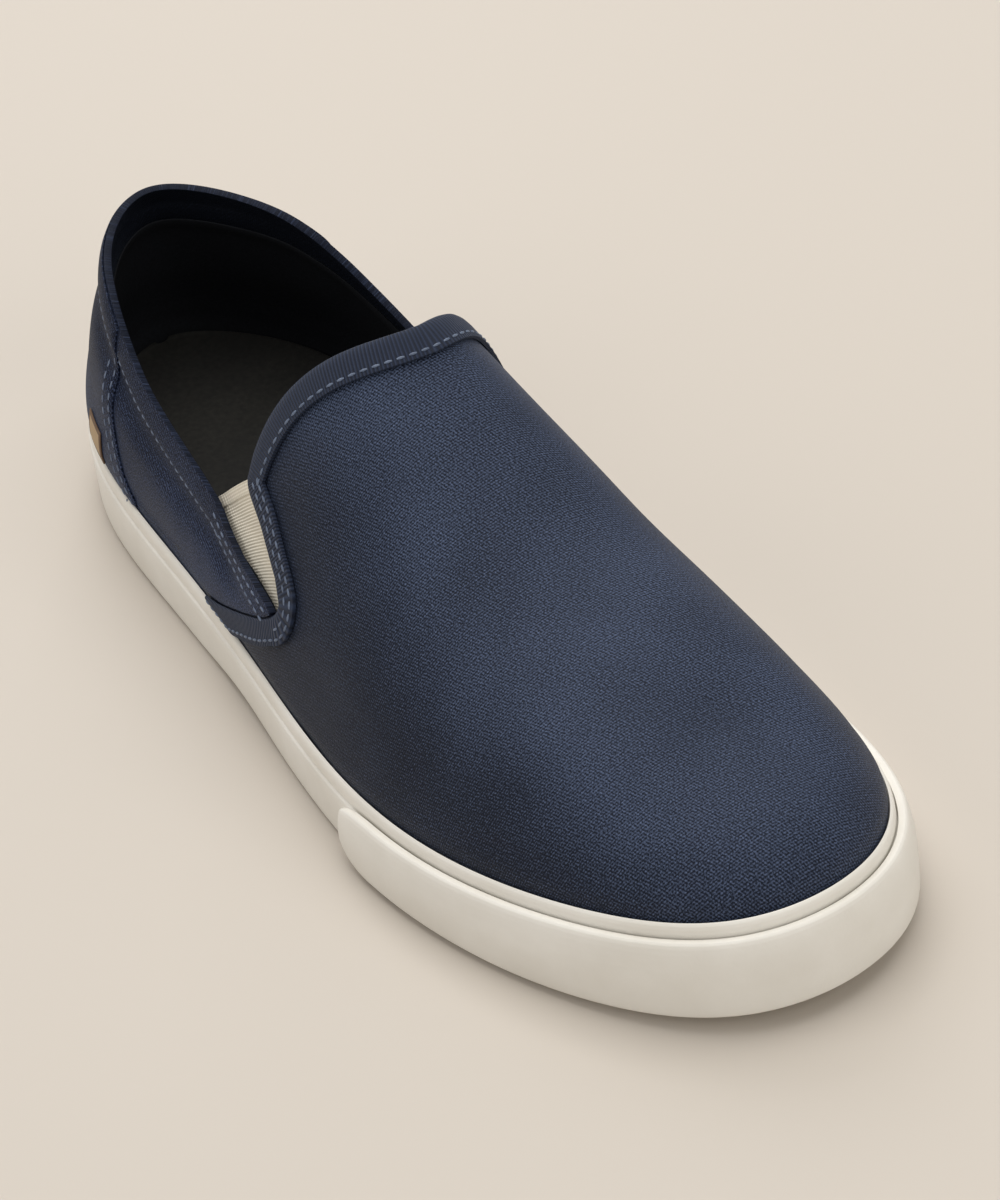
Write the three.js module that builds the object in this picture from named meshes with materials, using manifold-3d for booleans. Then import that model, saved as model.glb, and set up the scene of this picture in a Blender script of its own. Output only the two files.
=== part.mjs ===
import * as THREE from "three";
import { mergeVertices } from "three/addons/utils/BufferGeometryUtils.js";
import Module from "manifold-3d";

// Slip-on sneaker, right shoe, in millimetres: toe towards +X, inner side of the foot
// towards +Y, floor at Z = 0.

// Sole
const SOLE_LENGTH = 292;
const BALL_WIDTH = 97;
const HEEL_WIDTH = 75.5;
const FOXING_HEIGHT = 25;
const FOXING_THICKNESS = 2.4;
const FOXING_LIP = 5;
const LIP_DEPTH = 0.6;
const SEAT_HEIGHT = 15;
const TOE_SPRING = 4.5;
const ARCH_LIFT = 1.6;
const SIDE_STEP = 0.5;
const BUMPER_THICKNESS = 3.4;
const BUMPER_BELOW_LIP = 2.6;
const GROOVE_WIDTH = 2.4;
const GROOVE_DEPTH = 1.4;
const INSOLE_THICKNESS = 4;

// Upper
const WALL = 1.8;
const QUARTER_STEP = 0.7;
const RIDGE_HEIGHT = 113.5;
const COLLAR_HEIGHT = 68;
const QUARTER_PUFF = 1.7;
const FOXING_SWELL = 1.4;
const VAMP_LENGTH = 151;
const BINDING_WIDTH = 6.5;
const BINDING_THICKNESS = 0.9;
const GORE_THICKNESS = 1.2;
const COUNTER_THICKNESS = 0.9;
const LABEL_ALONG = 0.145;
const LABEL_LENGTH = 11;
const LABEL_HEIGHT = 9;
const LABEL_THICKNESS = 0.8;

// Space left between neighbouring pieces, and the extra a flat facet needs over a curve
const FIT = 0.3;
const FACET = 0.15;

// Nine stations from heel to toe, at equal steps of the angle round the outline.
// toBall: how far the local width has passed from the heel's to the ball's.
// lateral, medial: reach to each side, as shares of the local width.
// band: foxing height as a share of the heel's. seat: footbed height, likewise.
// ridge: height of the top of the last as a share of its height over the heel.
// across: how far the ridge stands off the centre line, as a share of the ball width.
const STATIONS = [
  { toBall: 0, lateral: 0, medial: 0, band: 1, seat: 1.0, ridge: 1, across: 0 },
  { toBall: 0, lateral: 0.293, medial: 0.275, band: 0.936, seat: 0.97, ridge: 0.994, across: 0.003 },
  { toBall: 0, lateral: 0.502, medial: 0.495, band: 0.852, seat: 0.87, ridge: 0.967, across: 0.011 },
  { toBall: 0.15, lateral: 0.545, medial: 0.489, band: 0.78, seat: 0.8, ridge: 0.921, across: 0.03 },
  { toBall: 0.5, lateral: 0.567, medial: 0.45, band: 0.752, seat: 0.77, ridge: 0.795, across: 0.05 },
  { toBall: 1, lateral: 0.541, medial: 0.459, band: 0.784, seat: 0.73, ridge: 0.59, across: 0.075 },
  { toBall: 1, lateral: 0.427, medial: 0.444, band: 0.908, seat: 0.77, ridge: 0.5, across: 0.085 },
  { toBall: 1, lateral: 0.235, medial: 0.3, band: 1.064, seat: 0.93, ridge: 0.433, across: 0.085 },
  { toBall: 1, lateral: -0.03, medial: 0.03, band: 1.14, seat: 1.03, ridge: 0.411, across: 0.085 },
];
const HEEL_ROUNDNESS = 1.55;
const TOE_ROUNDNESS = 1.98;
const RIDGE_FROM_HEEL = 0.154;
const RIDGE_FROM_TOE = 0.144;

// Height of the collar along the shoe: along is a share of the length, up of the collar height.
const COLLAR = [
  { along: 0.0, up: 1.0 },
  { along: 0.041, up: 0.975 },
  { along: 0.1, up: 0.935 },
  { along: 0.14, up: 0.888 },
  { along: 0.182, up: 0.828 },
  { along: 0.22, up: 0.778 },
  { along: 0.27, up: 0.737 },
  { along: 0.33, up: 0.7 },
  { along: 0.385, up: 0.67 },
  { along: 0.6, up: 0.67 },
];

// Front edge of the quarter, from the foxing forward to the point of the side cut and
// back up to the collar. along is a share of the length; up is 0 at the foxing's top
// and 1 at the collar.
const QUARTER_FRONT = [
  { along: 0.304, up: 0.01 },
  { along: 0.34, up: 0.1 },
  { along: 0.391, up: 0.25 },
  { along: 0.442, up: 0.41 },
  { along: 0.4795, up: 0.54 },
  { along: 0.496, up: 0.61 },
  { along: 0.4975, up: 0.66 },
  { along: 0.473, up: 0.72 },
  { along: 0.435, up: 0.8 },
  { along: 0.398, up: 0.91 },
  { along: 0.3716, up: 1.0 },
];

// Rear edge of the vamp: its hidden lap under the quarter, the point of the side cut
// and the cut's front edge up to the corner of the throat.
const VAMP_REAR = [
  { along: 0.265, up: 0.01 },
  { along: 0.34, up: 0.27 },
  { along: 0.438, up: 0.5 },
  { along: 0.5, up: 0.61 },
  { along: 0.507, up: 0.66 },
  { along: 0.5055, up: 0.73 },
  { along: 0.492, up: 0.85 },
  { along: 0.474, up: 1.0 },
  { along: 0.4505, up: 1.19 },
  { along: 0.418, up: 1.5 },
];
const MEDIAL_SHIFT = 0.024;

// Corners of the gore where it hides behind the two edges of the side cut.
const GORE_CORNERS = {
  topBack: { along: 0.357, up: 0.92 },
  topFront: { along: 0.433, up: 1.62 },
  tipBack: { along: 0.484, up: 0.47 },
  tipFront: { along: 0.519, up: 0.61 },
};

// Front edge of the counter panel, from the foxing up to the collar.
const COUNTER_FRONT = [
  { along: 0.212, up: 0.0 },
  { along: 0.18, up: 0.35 },
  { along: 0.152, up: 0.7 },
  { along: 0.132, up: 1.0 },
];

const TAU = 2 * Math.PI;
const clamp = (v, low, high) => Math.min(high, Math.max(low, v));
const smooth = (v) => {
  const t = clamp(v, 0, 1);
  return t * t * (3 - 2 * t);
};
const mix = (a, b, t) => a + (b - a) * t;

// Smooth closed curve through values at equal steps of an angle from 0 to a full turn.
function round(values) {
  const n = values.length;
  return (angle) => {
    let sum = 0;
    let weight = 0;
    for (let i = 0; i < n; i++) {
      const d = angle - (TAU * i) / n;
      const s = Math.sin(d / 2);
      if (Math.abs(s) < 1e-9) return values[i];
      const w = (i % 2 ? -1 : 1) / Math.tan(d / 2);
      sum += w * values[i];
      weight += w;
    }
    return sum / weight;
  };
}

// The same for a column that is alike on both sides of the shoe.
function column(name) {
  const there = STATIONS.map((row) => row[name]);
  const back = there.slice(1, -1).reverse();
  return round([...there, ...back]);
}

// Smooth curve through rows of x and y that doesn't overshoot them.
function through(rows) {
  const n = rows.length;
  const step = rows.slice(1).map((r, i) => (r[1] - rows[i][1]) / (r[0] - rows[i][0]));
  const slope = rows.map((r, i) => {
    if (i === 0) return step[0];
    if (i === n - 1) return step[n - 2];
    if (step[i - 1] * step[i] <= 0) return 0;
    return (2 * step[i - 1] * step[i]) / (step[i - 1] + step[i]);
  });
  return (x) => {
    if (x <= rows[0][0]) return rows[0][1];
    if (x >= rows[n - 1][0]) return rows[n - 1][1];
    let i = 0;
    while (x > rows[i + 1][0]) i++;
    const h = rows[i + 1][0] - rows[i][0];
    const t = (x - rows[i][0]) / h;
    const a = rows[i][1];
    const b = rows[i + 1][1];
    const rise = t * t * (3 - 2 * t);
    const lead = t * (1 - t) * (1 - t) * slope[i];
    const trail = t * t * (1 - t) * slope[i + 1];
    return a + (b - a) * rise + h * (lead - trail);
  };
}

// Outline of the sole: turn runs from the heel along the outer side to the toe and back.
const reach = STATIONS.map((row) => {
  const width = mix(HEEL_WIDTH, BALL_WIDTH, row.toBall);
  return { lateral: -row.lateral * width, medial: row.medial * width };
});
const reachBack = reach.slice(1, -1).reverse();
const sideways = round([...reach.map((r) => r.lateral), ...reachBack.map((r) => r.medial)]);
const alongAt = (turn) => (SOLE_LENGTH / 2) * (1 - Math.cos(turn));
const turnAt = (x) => Math.acos(clamp(1 - (2 * x) / SOLE_LENGTH, -1, 1));

function outline(turn, inset) {
  const e = 1e-4;
  const dx = (SOLE_LENGTH / 2) * Math.sin(turn);
  const dy = (sideways(turn + e) - sideways(turn - e)) / (2 * e);
  const n = Math.hypot(dx, dy);
  return [alongAt(turn) - (dy / n) * inset, sideways(turn) + (dx / n) * inset];
}

const bandShare = column("band");
const seatShare = column("seat");
const ridgeShare = column("ridge");
const acrossShare = column("across");
const bandTop = (turn) => FOXING_HEIGHT * bandShare(turn);
const seat = (turn) => SEAT_HEIGHT * seatShare(turn);
const collarAt = through(COLLAR.map((r) => [r.along * SOLE_LENGTH, r.up * COLLAR_HEIGHT]));

// Underside of the sole: flat under heel and ball, lifted at the arch and the toe.
function underside(x) {
  const s = x / SOLE_LENGTH;
  const toe = clamp((s - 0.8) / 0.2, 0, 1);
  const arch = clamp((s - 0.33) / 0.2, 0, 1);
  return TOE_SPRING * toe * toe + ARCH_LIFT * Math.sin(Math.PI * arch) ** 2;
}

// Surface of the last. turn (0 to half a turn) runs from heel to toe, girth (0 to half a
// turn) from the outer feather edge over the ridge to the inner one. Below 0 and above
// half a turn the girth goes straight down to the footbed.
const UPPER_INSET = FOXING_THICKNESS + QUARTER_STEP + FIT + FACET;
const TUCK = 4;
const ridgeStart = RIDGE_FROM_HEEL * SOLE_LENGTH;
const ridgeEnd = (1 - RIDGE_FROM_TOE) * SOLE_LENGTH;
const ridgeX = (turn) => mix(ridgeStart, ridgeEnd, (1 - Math.cos(turn)) / 2);
const ridgeZ = (turn) => RIDGE_HEIGHT * ridgeShare(turn);
const featherZ = (turn) => bandTop(turn) - TUCK;
const roundness = (turn) => {
  const s = (1 - Math.cos(turn)) / 2;
  return mix(HEEL_ROUNDNESS, TOE_ROUNDNESS, smooth((s - 0.15) / 0.5));
};

function ridgeSlope(turn) {
  const t = clamp(turn, 0.05, Math.PI - 0.05);
  const e = 0.01;
  return (ridgeZ(t + e) - ridgeZ(t - e)) / (ridgeX(t + e) - ridgeX(t - e));
}

function last(turn, girth) {
  const inner = girth > Math.PI / 2;
  const angle = inner ? Math.PI - girth : girth;
  const [fx, fy] = outline(inner ? TAU - turn : turn, UPPER_INSET);
  const fz = featherZ(turn);
  if (angle < 0) return new THREE.Vector3(fx, fy, fz + angle * (fz - seat(turn) - FIT));
  const power = 2 / roundness(turn);
  const out = Math.max(0, Math.cos(angle)) ** power;
  const up = Math.sin(angle) ** power;
  const ax = ridgeX(turn);
  const ay = BALL_WIDTH * acrossShare(turn);
  const lean = ridgeSlope(turn) * (fx - ax) * out * (1 - out) ** 2;
  return new THREE.Vector3(
    mix(ax, fx, out),
    mix(ay, fy, out),
    mix(fz, ridgeZ(turn), up) + lean,
  );
}

function frameAt(turn, girth) {
  const e = 1e-3;
  const t = clamp(turn, e, Math.PI - e);
  const forward = last(t + e, girth).sub(last(t - e, girth)).multiplyScalar(1 / (2 * e));
  const g = girth;
  const over = last(t, g + e).sub(last(t, g - e)).multiplyScalar(1 / (2 * e));
  const normal = forward.clone().cross(over);
  if (normal.length() < 1e-6) normal.set(0, 0, 1);
  return { forward, over, normal: normal.normalize() };
}

// The quarters stand a little fuller than the last between foxing and collar, and the
// canvas swells over the foxing's edge all round.
function puff(turn, z) {
  const x = alongAt(turn);
  const low = bandTop(turn) + 0.4;
  const over = (z - low) / 3;
  const swell = FOXING_SWELL * smooth(over) * (1 - smooth((over - 1) / 5));
  const h = clamp((z - low) / (collarAt(x) - low), 0, 1);
  const s = x / SOLE_LENGTH;
  const where = smooth((s - 0.03) / 0.14) * (1 - smooth((s - 0.46) / 0.14));
  return swell + QUARTER_PUFF * where * Math.sin(Math.PI * h) ** 0.8;
}

function skin(turn, girth, off) {
  const at = last(turn, girth);
  const n = frameAt(turn, girth).normal;
  return at.addScaledVector(n, off + puff(turn, at.z));
}

// Turn and girth of a point given by its length and its height share on one side.
function onSide(knot, inner) {
  const x = (knot.along + (inner ? MEDIAL_SHIFT : 0)) * SOLE_LENGTH;
  const turn = turnAt(x);
  const low = bandTop(turn);
  const z = mix(low, collarAt(x), knot.up);
  const share = clamp((z - featherZ(turn)) / (ridgeZ(turn) - featherZ(turn)), 0, 1);
  const angle = Math.asin(share ** (roundness(turn) / 2));
  return [turn, inner ? Math.PI - angle : angle];
}

// A closed solid between two grids of points, rimmed all round. With zip the last
// column of each grid is folded on itself and closed.
function sheet(columns, rows, outer, inner, zip = false) {
  const index = [];
  const points = [];
  const quad = (a, b, c, d) => index.push(a, b, c, a, c, d);
  const at = (i, j, k) => k * (columns + 1) * (rows + 1) + i * (rows + 1) + j;
  for (const face of [outer, inner]) {
    for (let i = 0; i <= columns; i++) {
      for (let j = 0; j <= rows; j++) {
        const p = face(i, zip && i === columns ? Math.min(j, rows - j) : j);
        points.push(p.x, p.y, p.z);
      }
    }
  }
  for (let i = 0; i < columns; i++) {
    for (let j = 0; j < rows; j++) {
      quad(at(i, j, 0), at(i + 1, j, 0), at(i + 1, j + 1, 0), at(i, j + 1, 0));
      quad(at(i, j, 1), at(i, j + 1, 1), at(i + 1, j + 1, 1), at(i + 1, j, 1));
    }
    quad(at(i, 0, 1), at(i + 1, 0, 1), at(i + 1, 0, 0), at(i, 0, 0));
    quad(at(i, rows, 0), at(i + 1, rows, 0), at(i + 1, rows, 1), at(i, rows, 1));
  }
  for (let j = 0; j < rows; j++) {
    quad(at(0, j, 0), at(0, j + 1, 0), at(0, j + 1, 1), at(0, j, 1));
    if (!zip) quad(at(columns, j, 1), at(columns, j + 1, 1), at(columns, j + 1, 0), at(columns, j, 0));
  }
  return closed(points, index);
}

function closed(points, index) {
  const g = new THREE.BufferGeometry();
  g.setAttribute("position", new THREE.Float32BufferAttribute(points, 3));
  g.setIndex(index);
  return mergeVertices(g, 1e-3);
}

// A tube whose section is a ring of points, either closed on itself or capped.
function sweep(count, section, ringed) {
  const points = [];
  const index = [];
  const rings = [];
  for (let i = 0; i < count; i++) rings.push(section(i));
  const m = rings[0].length;
  rings.forEach((ring) => ring.forEach((p) => points.push(p.x, p.y, p.z)));
  const spans = ringed ? count : count - 1;
  for (let i = 0; i < spans; i++) {
    const a = i * m;
    const b = ((i + 1) % count) * m;
    for (let k = 0; k < m; k++) {
      const l = (k + 1) % m;
      index.push(a + k, b + k, b + l, a + k, b + l, a + l);
    }
  }
  if (!ringed) {
    for (let k = 1; k < m - 1; k++) {
      index.push(0, k, k + 1);
      const b = (count - 1) * m;
      index.push(b, b + k + 1, b + k);
    }
  }
  return closed(points, index);
}

const wasm = await Module();
wasm.setup();

function solid(geometry) {
  return new wasm.Manifold(
    new wasm.Mesh({
      numProp: 3,
      vertProperties: geometry.attributes.position.array,
      triVerts: new Uint32Array(geometry.index.array),
    }),
  );
}

function geometryOf(made) {
  const m = made.getMesh();
  const points = [];
  for (let i = 0; i < m.numVert; i++) {
    points.push(...m.vertProperties.subarray(i * m.numProp, i * m.numProp + 3));
  }
  return closed(points, Array.from(m.triVerts));
}

const shoe = new THREE.Group();
function add(name, geometry, color, roughness) {
  const material = new THREE.MeshStandardMaterial({ color, roughness, metalness: 0 });
  const mesh = new THREE.Mesh(geometry, material);
  mesh.name = name;
  shoe.add(mesh);
}

// Outsole: the rubber bottom and the core up to the footbed, with flex grooves.
const OUTSOLE_STEPS = 40;
const outsoleSection = (i) => {
  const turn = (Math.PI * i) / OUTSOLE_STEPS;
  const near = clamp(turn, 0.03, Math.PI - 0.03);
  const [x, y] = outline(near, UPPER_INSET);
  const [x2, y2] = outline(TAU - near, UPPER_INSET);
  const low = underside(x);
  const low2 = underside(x2);
  return [
    new THREE.Vector3(x, y, low + 1.2),
    new THREE.Vector3(x, y, seat(near)),
    new THREE.Vector3(x2, y2, seat(near)),
    new THREE.Vector3(x2, y2, low2 + 1.2),
    new THREE.Vector3(x2, y2 - 1.2, low2),
    new THREE.Vector3(x, y + 1.2, low),
  ];
};
let outsole = solid(sweep(OUTSOLE_STEPS + 1, outsoleSection, false));
for (const share of [0.08, 0.14, 0.2, 0.26, 0.57, 0.62, 0.67, 0.72, 0.77]) {
  const groove = new THREE.BoxGeometry(GROOVE_WIDTH, BALL_WIDTH * 2, GROOVE_DEPTH * 2);
  groove.translate(share * SOLE_LENGTH, 0, 0);
  groove.deleteAttribute("normal").deleteAttribute("uv");
  outsole = outsole.subtract(solid(mergeVertices(groove)));
}
add("outsole", geometryOf(outsole), 0xcfc9b8, 0.75);

// Foxing: the rubber band round the side, with a lip set back along its top.
const FOXING_STEPS = 76;
const quarterLap = (turn) => {
  const s = alongAt(turn) / SOLE_LENGTH;
  return QUARTER_STEP * (1 - smooth((s - 0.33) / 0.05));
};
const foxingSection = (i) => {
  const turn = (TAU * i) / FOXING_STEPS;
  const half = turn > Math.PI ? TAU - turn : turn;
  const inner = UPPER_INSET - FIT - FACET - quarterLap(half);
  const low = underside(alongAt(turn)) + SIDE_STEP;
  const top = bandTop(half);
  const profile = [
    [inner, low],
    [1, low],
    [0, low + 1.2],
    [0, top - FOXING_LIP],
    [LIP_DEPTH, top - FOXING_LIP + 0.6],
    [LIP_DEPTH, top - 1],
    [LIP_DEPTH + 0.9, top],
    [inner, top],
  ];
  return profile.map(([inset, z]) => new THREE.Vector3(...outline(turn, inset), z));
};
add("foxing", sweep(FOXING_STEPS, foxingSection, true), 0xdedacb, 0.6);

// Toe bumper: the thicker strip round the toe, below the foxing's lip.
const BUMPER_STEPS = 46;
const bumperStart = turnAt(0.575 * SOLE_LENGTH);
const bumperEnd = TAU - turnAt(0.62 * SOLE_LENGTH);
const bumperSection = (i) => {
  const share = i / BUMPER_STEPS;
  const eased = mix(share, smooth(share), 0.25);
  const turn = mix(bumperStart, bumperEnd, eased);
  const half = turn > Math.PI ? TAU - turn : turn;
  const fromEnd = Math.min(eased, 1 - eased) * 22;
  const swell = 0.25 + 0.75 * Math.sqrt(1 - (1 - clamp(fromEnd, 0, 1)) ** 2);
  const low = underside(alongAt(turn)) + SIDE_STEP + 0.8;
  const top = bandTop(half) - FOXING_LIP - FIT + (FOXING_LIP - BUMPER_BELOW_LIP);
  const middle = mix(low, top, 0.5);
  const h = ((top - low) / 2) * swell;
  const outer = FIT + BUMPER_THICKNESS * mix(0.5, 1, swell);
  const profile = [
    [FIT, -h],
    [outer - 0.9, -h],
    [outer, -h + 1.2],
    [outer, h - 2],
    [outer - 0.8, h - 0.5],
    [outer - 1.9, h],
    [FIT, h],
  ];
  return profile.map(([out, z]) => new THREE.Vector3(...outline(turn, -out), middle + z));
};
add("toe_bumper", sweep(BUMPER_STEPS + 1, bumperSection, false), 0xe2decf, 0.6);

// Lanes run from heel to toe: 0 on the feather, LOW_LANE along the foxing's top and half
// of a half turn on the ridge, the same again down to the inner side.
const LOW_LANE = 0.1;
function angleAt(turn, z) {
  const share = clamp((z - featherZ(turn)) / (ridgeZ(turn) - featherZ(turn)), 0, 1);
  return Math.asin(share ** (roundness(turn) / 2));
}
function girthOfLane(turn, lane) {
  const inner = lane > Math.PI / 2;
  const own = inner ? Math.PI - lane : lane;
  const rim = angleAt(turn, bandTop(turn) + FIT);
  let angle = own;
  if (own >= LOW_LANE) angle = mix(rim, Math.PI / 2, (own - LOW_LANE) / (Math.PI / 2 - LOW_LANE));
  else if (own >= 0) angle = (rim * own) / LOW_LANE;
  return inner ? Math.PI - angle : angle;
}
function laneOfGirth(turn, girth) {
  const inner = girth > Math.PI / 2;
  const angle = inner ? Math.PI - girth : girth;
  const rim = angleAt(turn, bandTop(turn) + FIT);
  const above = mix(LOW_LANE, Math.PI / 2, (angle - rim) / (Math.PI / 2 - rim));
  const own = angle > rim ? above : (LOW_LANE * angle) / rim;
  return inner ? Math.PI - own : own;
}

// Upper: vamp and quarters, the quarters lapped over the vamp behind the side cuts.
const throatCentre = turnAt(SOLE_LENGTH - VAMP_LENGTH);
function vampSide(inner) {
  return VAMP_REAR.map((knot) => {
    const [turn, girth] = onSide(knot, inner);
    return { turn, lane: laneOfGirth(turn, girth) };
  });
}
const outerSide = vampSide(false);
const innerSide = vampSide(true).reverse();
const cornerOut = outerSide[outerSide.length - 1];
const cornerIn = innerSide[0];
const rearOut = through(outerSide.map((k) => [k.lane, k.turn]));
const rearIn = through(innerSide.map((k) => [k.lane, k.turn]));

// Rear edge of the vamp as a turn for each lane: side edge, throat, side edge.
function vampRear(lane) {
  if (lane <= cornerOut.lane) return rearOut(lane);
  if (lane >= cornerIn.lane) return rearIn(lane);
  const corner = lane < Math.PI / 2 ? cornerOut : cornerIn;
  const way = (lane - corner.lane) / (Math.PI / 2 - corner.lane);
  return mix(corner.turn, throatCentre, Math.sin((Math.PI / 2) * way) ** 2.4);
}

const THROAT_STEPS = 10;
const throatLanes = [];
for (let k = 1; k < THROAT_STEPS; k++) {
  throatLanes.push(mix(cornerOut.lane, cornerIn.lane, k / THROAT_STEPS));
}
const vampLanes = [
  -1,
  0,
  LOW_LANE,
  ...outerSide.slice(1).map((k) => k.lane),
  ...throatLanes,
  ...innerSide.slice(0, -1).map((k) => k.lane),
  Math.PI - LOW_LANE,
  Math.PI,
  Math.PI + 1,
];
const VAMP_COLUMNS = 21;
function vampPoint(off) {
  return (i, j) => {
    const lane = vampLanes[j];
    const turn = mix(vampRear(lane), Math.PI, (i / VAMP_COLUMNS) ** 0.9);
    return skin(turn, girthOfLane(turn, lane), off);
  };
}
const vamp = sheet(VAMP_COLUMNS, vampLanes.length - 1, vampPoint(0), vampPoint(-WALL), true);

// Quarters in one piece round the heel. up is -2 at the footbed, -1 at the feather,
// 0 at the foxing's top and 1 at the collar.
function girthAtUp(turn, up, inner) {
  const low = bandTop(turn) + FIT;
  let angle = up + 1;
  if (up >= 0) angle = angleAt(turn, mix(low, collarAt(alongAt(turn)), up));
  else if (up > -1) angle = angleAt(turn, low) * (up + 1);
  return inner ? Math.PI - angle : angle;
}
const frontTurn = [false, true].map((inner) =>
  through(QUARTER_FRONT.map((knot) => [knot.up, onSide(knot, inner)[0]])),
);
const quarterUps = [-2, -1, 0, ...QUARTER_FRONT.slice(1).map((knot) => knot.up)];
const QUARTER_COLUMNS = 32;
function quarterPoint(off) {
  return (i, j) => {
    const share = 1 - (2 * i) / QUARTER_COLUMNS;
    const up = quarterUps[j];
    const turn = Math.abs(share) * frontTurn[share > 0 ? 1 : 0](up);
    return skin(turn, girthAtUp(turn, up, share > 0), off);
  };
}
const quarter = sheet(
  QUARTER_COLUMNS,
  quarterUps.length - 1,
  quarterPoint(QUARTER_STEP),
  quarterPoint(QUARTER_STEP - WALL),
);
add("upper", geometryOf(solid(vamp).add(solid(quarter))), 0x2f3a4f, 0.9);

// Throat binding: ribbed tape folded over the vamp's edge, from the foxing round the
// point of each side cut, up its front edge and across the throat.
const TIP = 4;
function bindingPath() {
  const side = (inner) => {
    const low = QUARTER_FRONT.slice(1, 6).map((knot) => ({ ...knot, free: 0 }));
    const high = VAMP_REAR.slice(TIP).map((knot) => ({ ...knot, free: 1 }));
    return [...low, ...high].map((knot) => {
      const [turn, girth] = onSide(knot, inner);
      return { turn, girth, free: knot.free, over: 0 };
    });
  };
  const throat = throatLanes.map((lane, k) => {
    const turn = vampRear(lane);
    const over = k === 0 || k === throatLanes.length - 1 ? 0.5 : 1;
    return { turn, girth: girthOfLane(turn, lane), free: 1, over };
  });
  return [...side(false), ...throat, ...side(true).reverse()];
}

// Point on the surface a distance away from a start, keeping to a direction.
function walk(turn, girth, direction, distance) {
  const steps = 3;
  const h = distance / steps;
  for (let k = 0; k < steps; k++) {
    const { forward, over } = frameAt(turn, girth);
    const a = forward.dot(forward);
    const b = forward.dot(over);
    const c = over.dot(over);
    const d = forward.dot(direction);
    const e = over.dot(direction);
    const det = a * c - b * b;
    turn += ((c * d - b * e) / det) * h;
    girth += ((a * e - b * d) / det) * h;
  }
  return [turn, girth];
}

const path = bindingPath();
const edge = path.map((p) => skin(p.turn, p.girth, 0));
const inward = path.map((p, k) => {
  const before = edge[Math.max(k - 1, 0)];
  const after = edge[Math.min(k + 1, edge.length - 1)];
  const ahead = after.clone().sub(edge[k]).normalize();
  const behind = edge[k].clone().sub(before).normalize();
  return ahead.add(behind).cross(frameAt(p.turn, p.girth).normal).normalize();
});

// Six points across the tape, each as distance in from the edge and height off the
// vamp: lying beside the quarter, folded over a side edge, turning the corner, folded
// right round the throat.
const near = FIT;
const far = FIT + BINDING_THICKNESS;
const under = -WALL - FIT - 3.4 * FACET;
const deep = under - BINDING_THICKNESS;
const W = BINDING_WIDTH;
const gap = FIT + 2.6 * FACET;
const rim = gap + BINDING_THICKNESS;
const FOLDS = {
  outer: {
    beside: [[W, far], [0.7 * W, far], [0.45 * W, far], [1.2, far], [gap, far], [gap, far - 0.3]],
    side: [[W, far], [0.5 * W, far], [0.6, far], [-rim, far], [-rim, -0.4], [-rim, -1.4]],
    corner: [[W, far], [0.5 * W, far], [0.6, far], [-rim, far], [-rim, -1.6], [-rim, deep]],
    throat: [[W, far], [0.5 * W, far], [0.6, far], [-rim, far], [-rim, deep], [4, deep]],
  },
  inner: {
    beside: [[W, near], [0.7 * W, near], [0.45 * W, near], [1.6, near], [0.9, near], [gap, near]],
    side: [[W, near], [0.5 * W, near], [0.6, near], [-gap, near], [-gap, -0.4], [-gap, -1.4]],
    corner: [[W, near], [0.5 * W, near], [0.6, near], [-gap, near], [-gap, -1.6], [-gap, under]],
    throat: [[W, near], [0.5 * W, near], [0.6, near], [-gap, near], [-gap, under], [4, under]],
  },
};
function tapePoint(face) {
  return (i, j) => {
    const p = path[i];
    const fold = FOLDS[face];
    const value = (n) => {
      const side = mix(fold.beside[j][n], fold.side[j][n], p.free);
      if (p.over < 1) return p.over > 0 ? fold.corner[j][n] : side;
      return fold.throat[j][n];
    };
    const room = (edge[i].z - bandTop(p.turn) - 0.9) / Math.max(-inward[i].z, 0.01);
    const width = inward[i].z < 0 ? Math.min(W, room) : W;
    const s = value(0) > near ? mix(near, width, (value(0) - near) / (W - near)) : value(0);
    if (s > 0) {
      const [turn, girth] = walk(p.turn, p.girth, inward[i], s);
      return skin(turn, girth, value(1));
    }
    const normal = frameAt(p.turn, p.girth).normal;
    return edge[i].clone().addScaledVector(inward[i], s).addScaledVector(normal, value(1));
  };
}
const tape = sheet(path.length - 1, 5, tapePoint("outer"), tapePoint("inner"));
add("throat_binding", tape, 0x34405a, 0.8);

// Gores: the elastic behind the side cuts, reaching under both edges.
const GORE_COLUMNS = 6;
const GORE_ROWS = 8;
function addGore(name, inner) {
  const { topBack, topFront, tipBack, tipFront } = GORE_CORNERS;
  const [a, b, c, d] = [topBack, topFront, tipBack, tipFront].map((knot) => onSide(knot, inner));
  const point = (off) => (i, j) => {
    const across = inner ? 1 - i / GORE_COLUMNS : i / GORE_COLUMNS;
    const up = j / GORE_ROWS;
    const turn = mix(mix(c[0], d[0], across), mix(a[0], b[0], across), up);
    const girth = mix(mix(c[1], d[1], across), mix(a[1], b[1], across), up);
    return skin(turn, girth, off);
  };
  const outer = -WALL - FIT - FACET;
  const made = sheet(GORE_COLUMNS, GORE_ROWS, point(outer), point(outer - GORE_THICKNESS));
  add(name, made, 0xd3c9b5, 0.85);
}
addGore("gore_lateral", false);
addGore("gore_medial", true);

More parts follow.
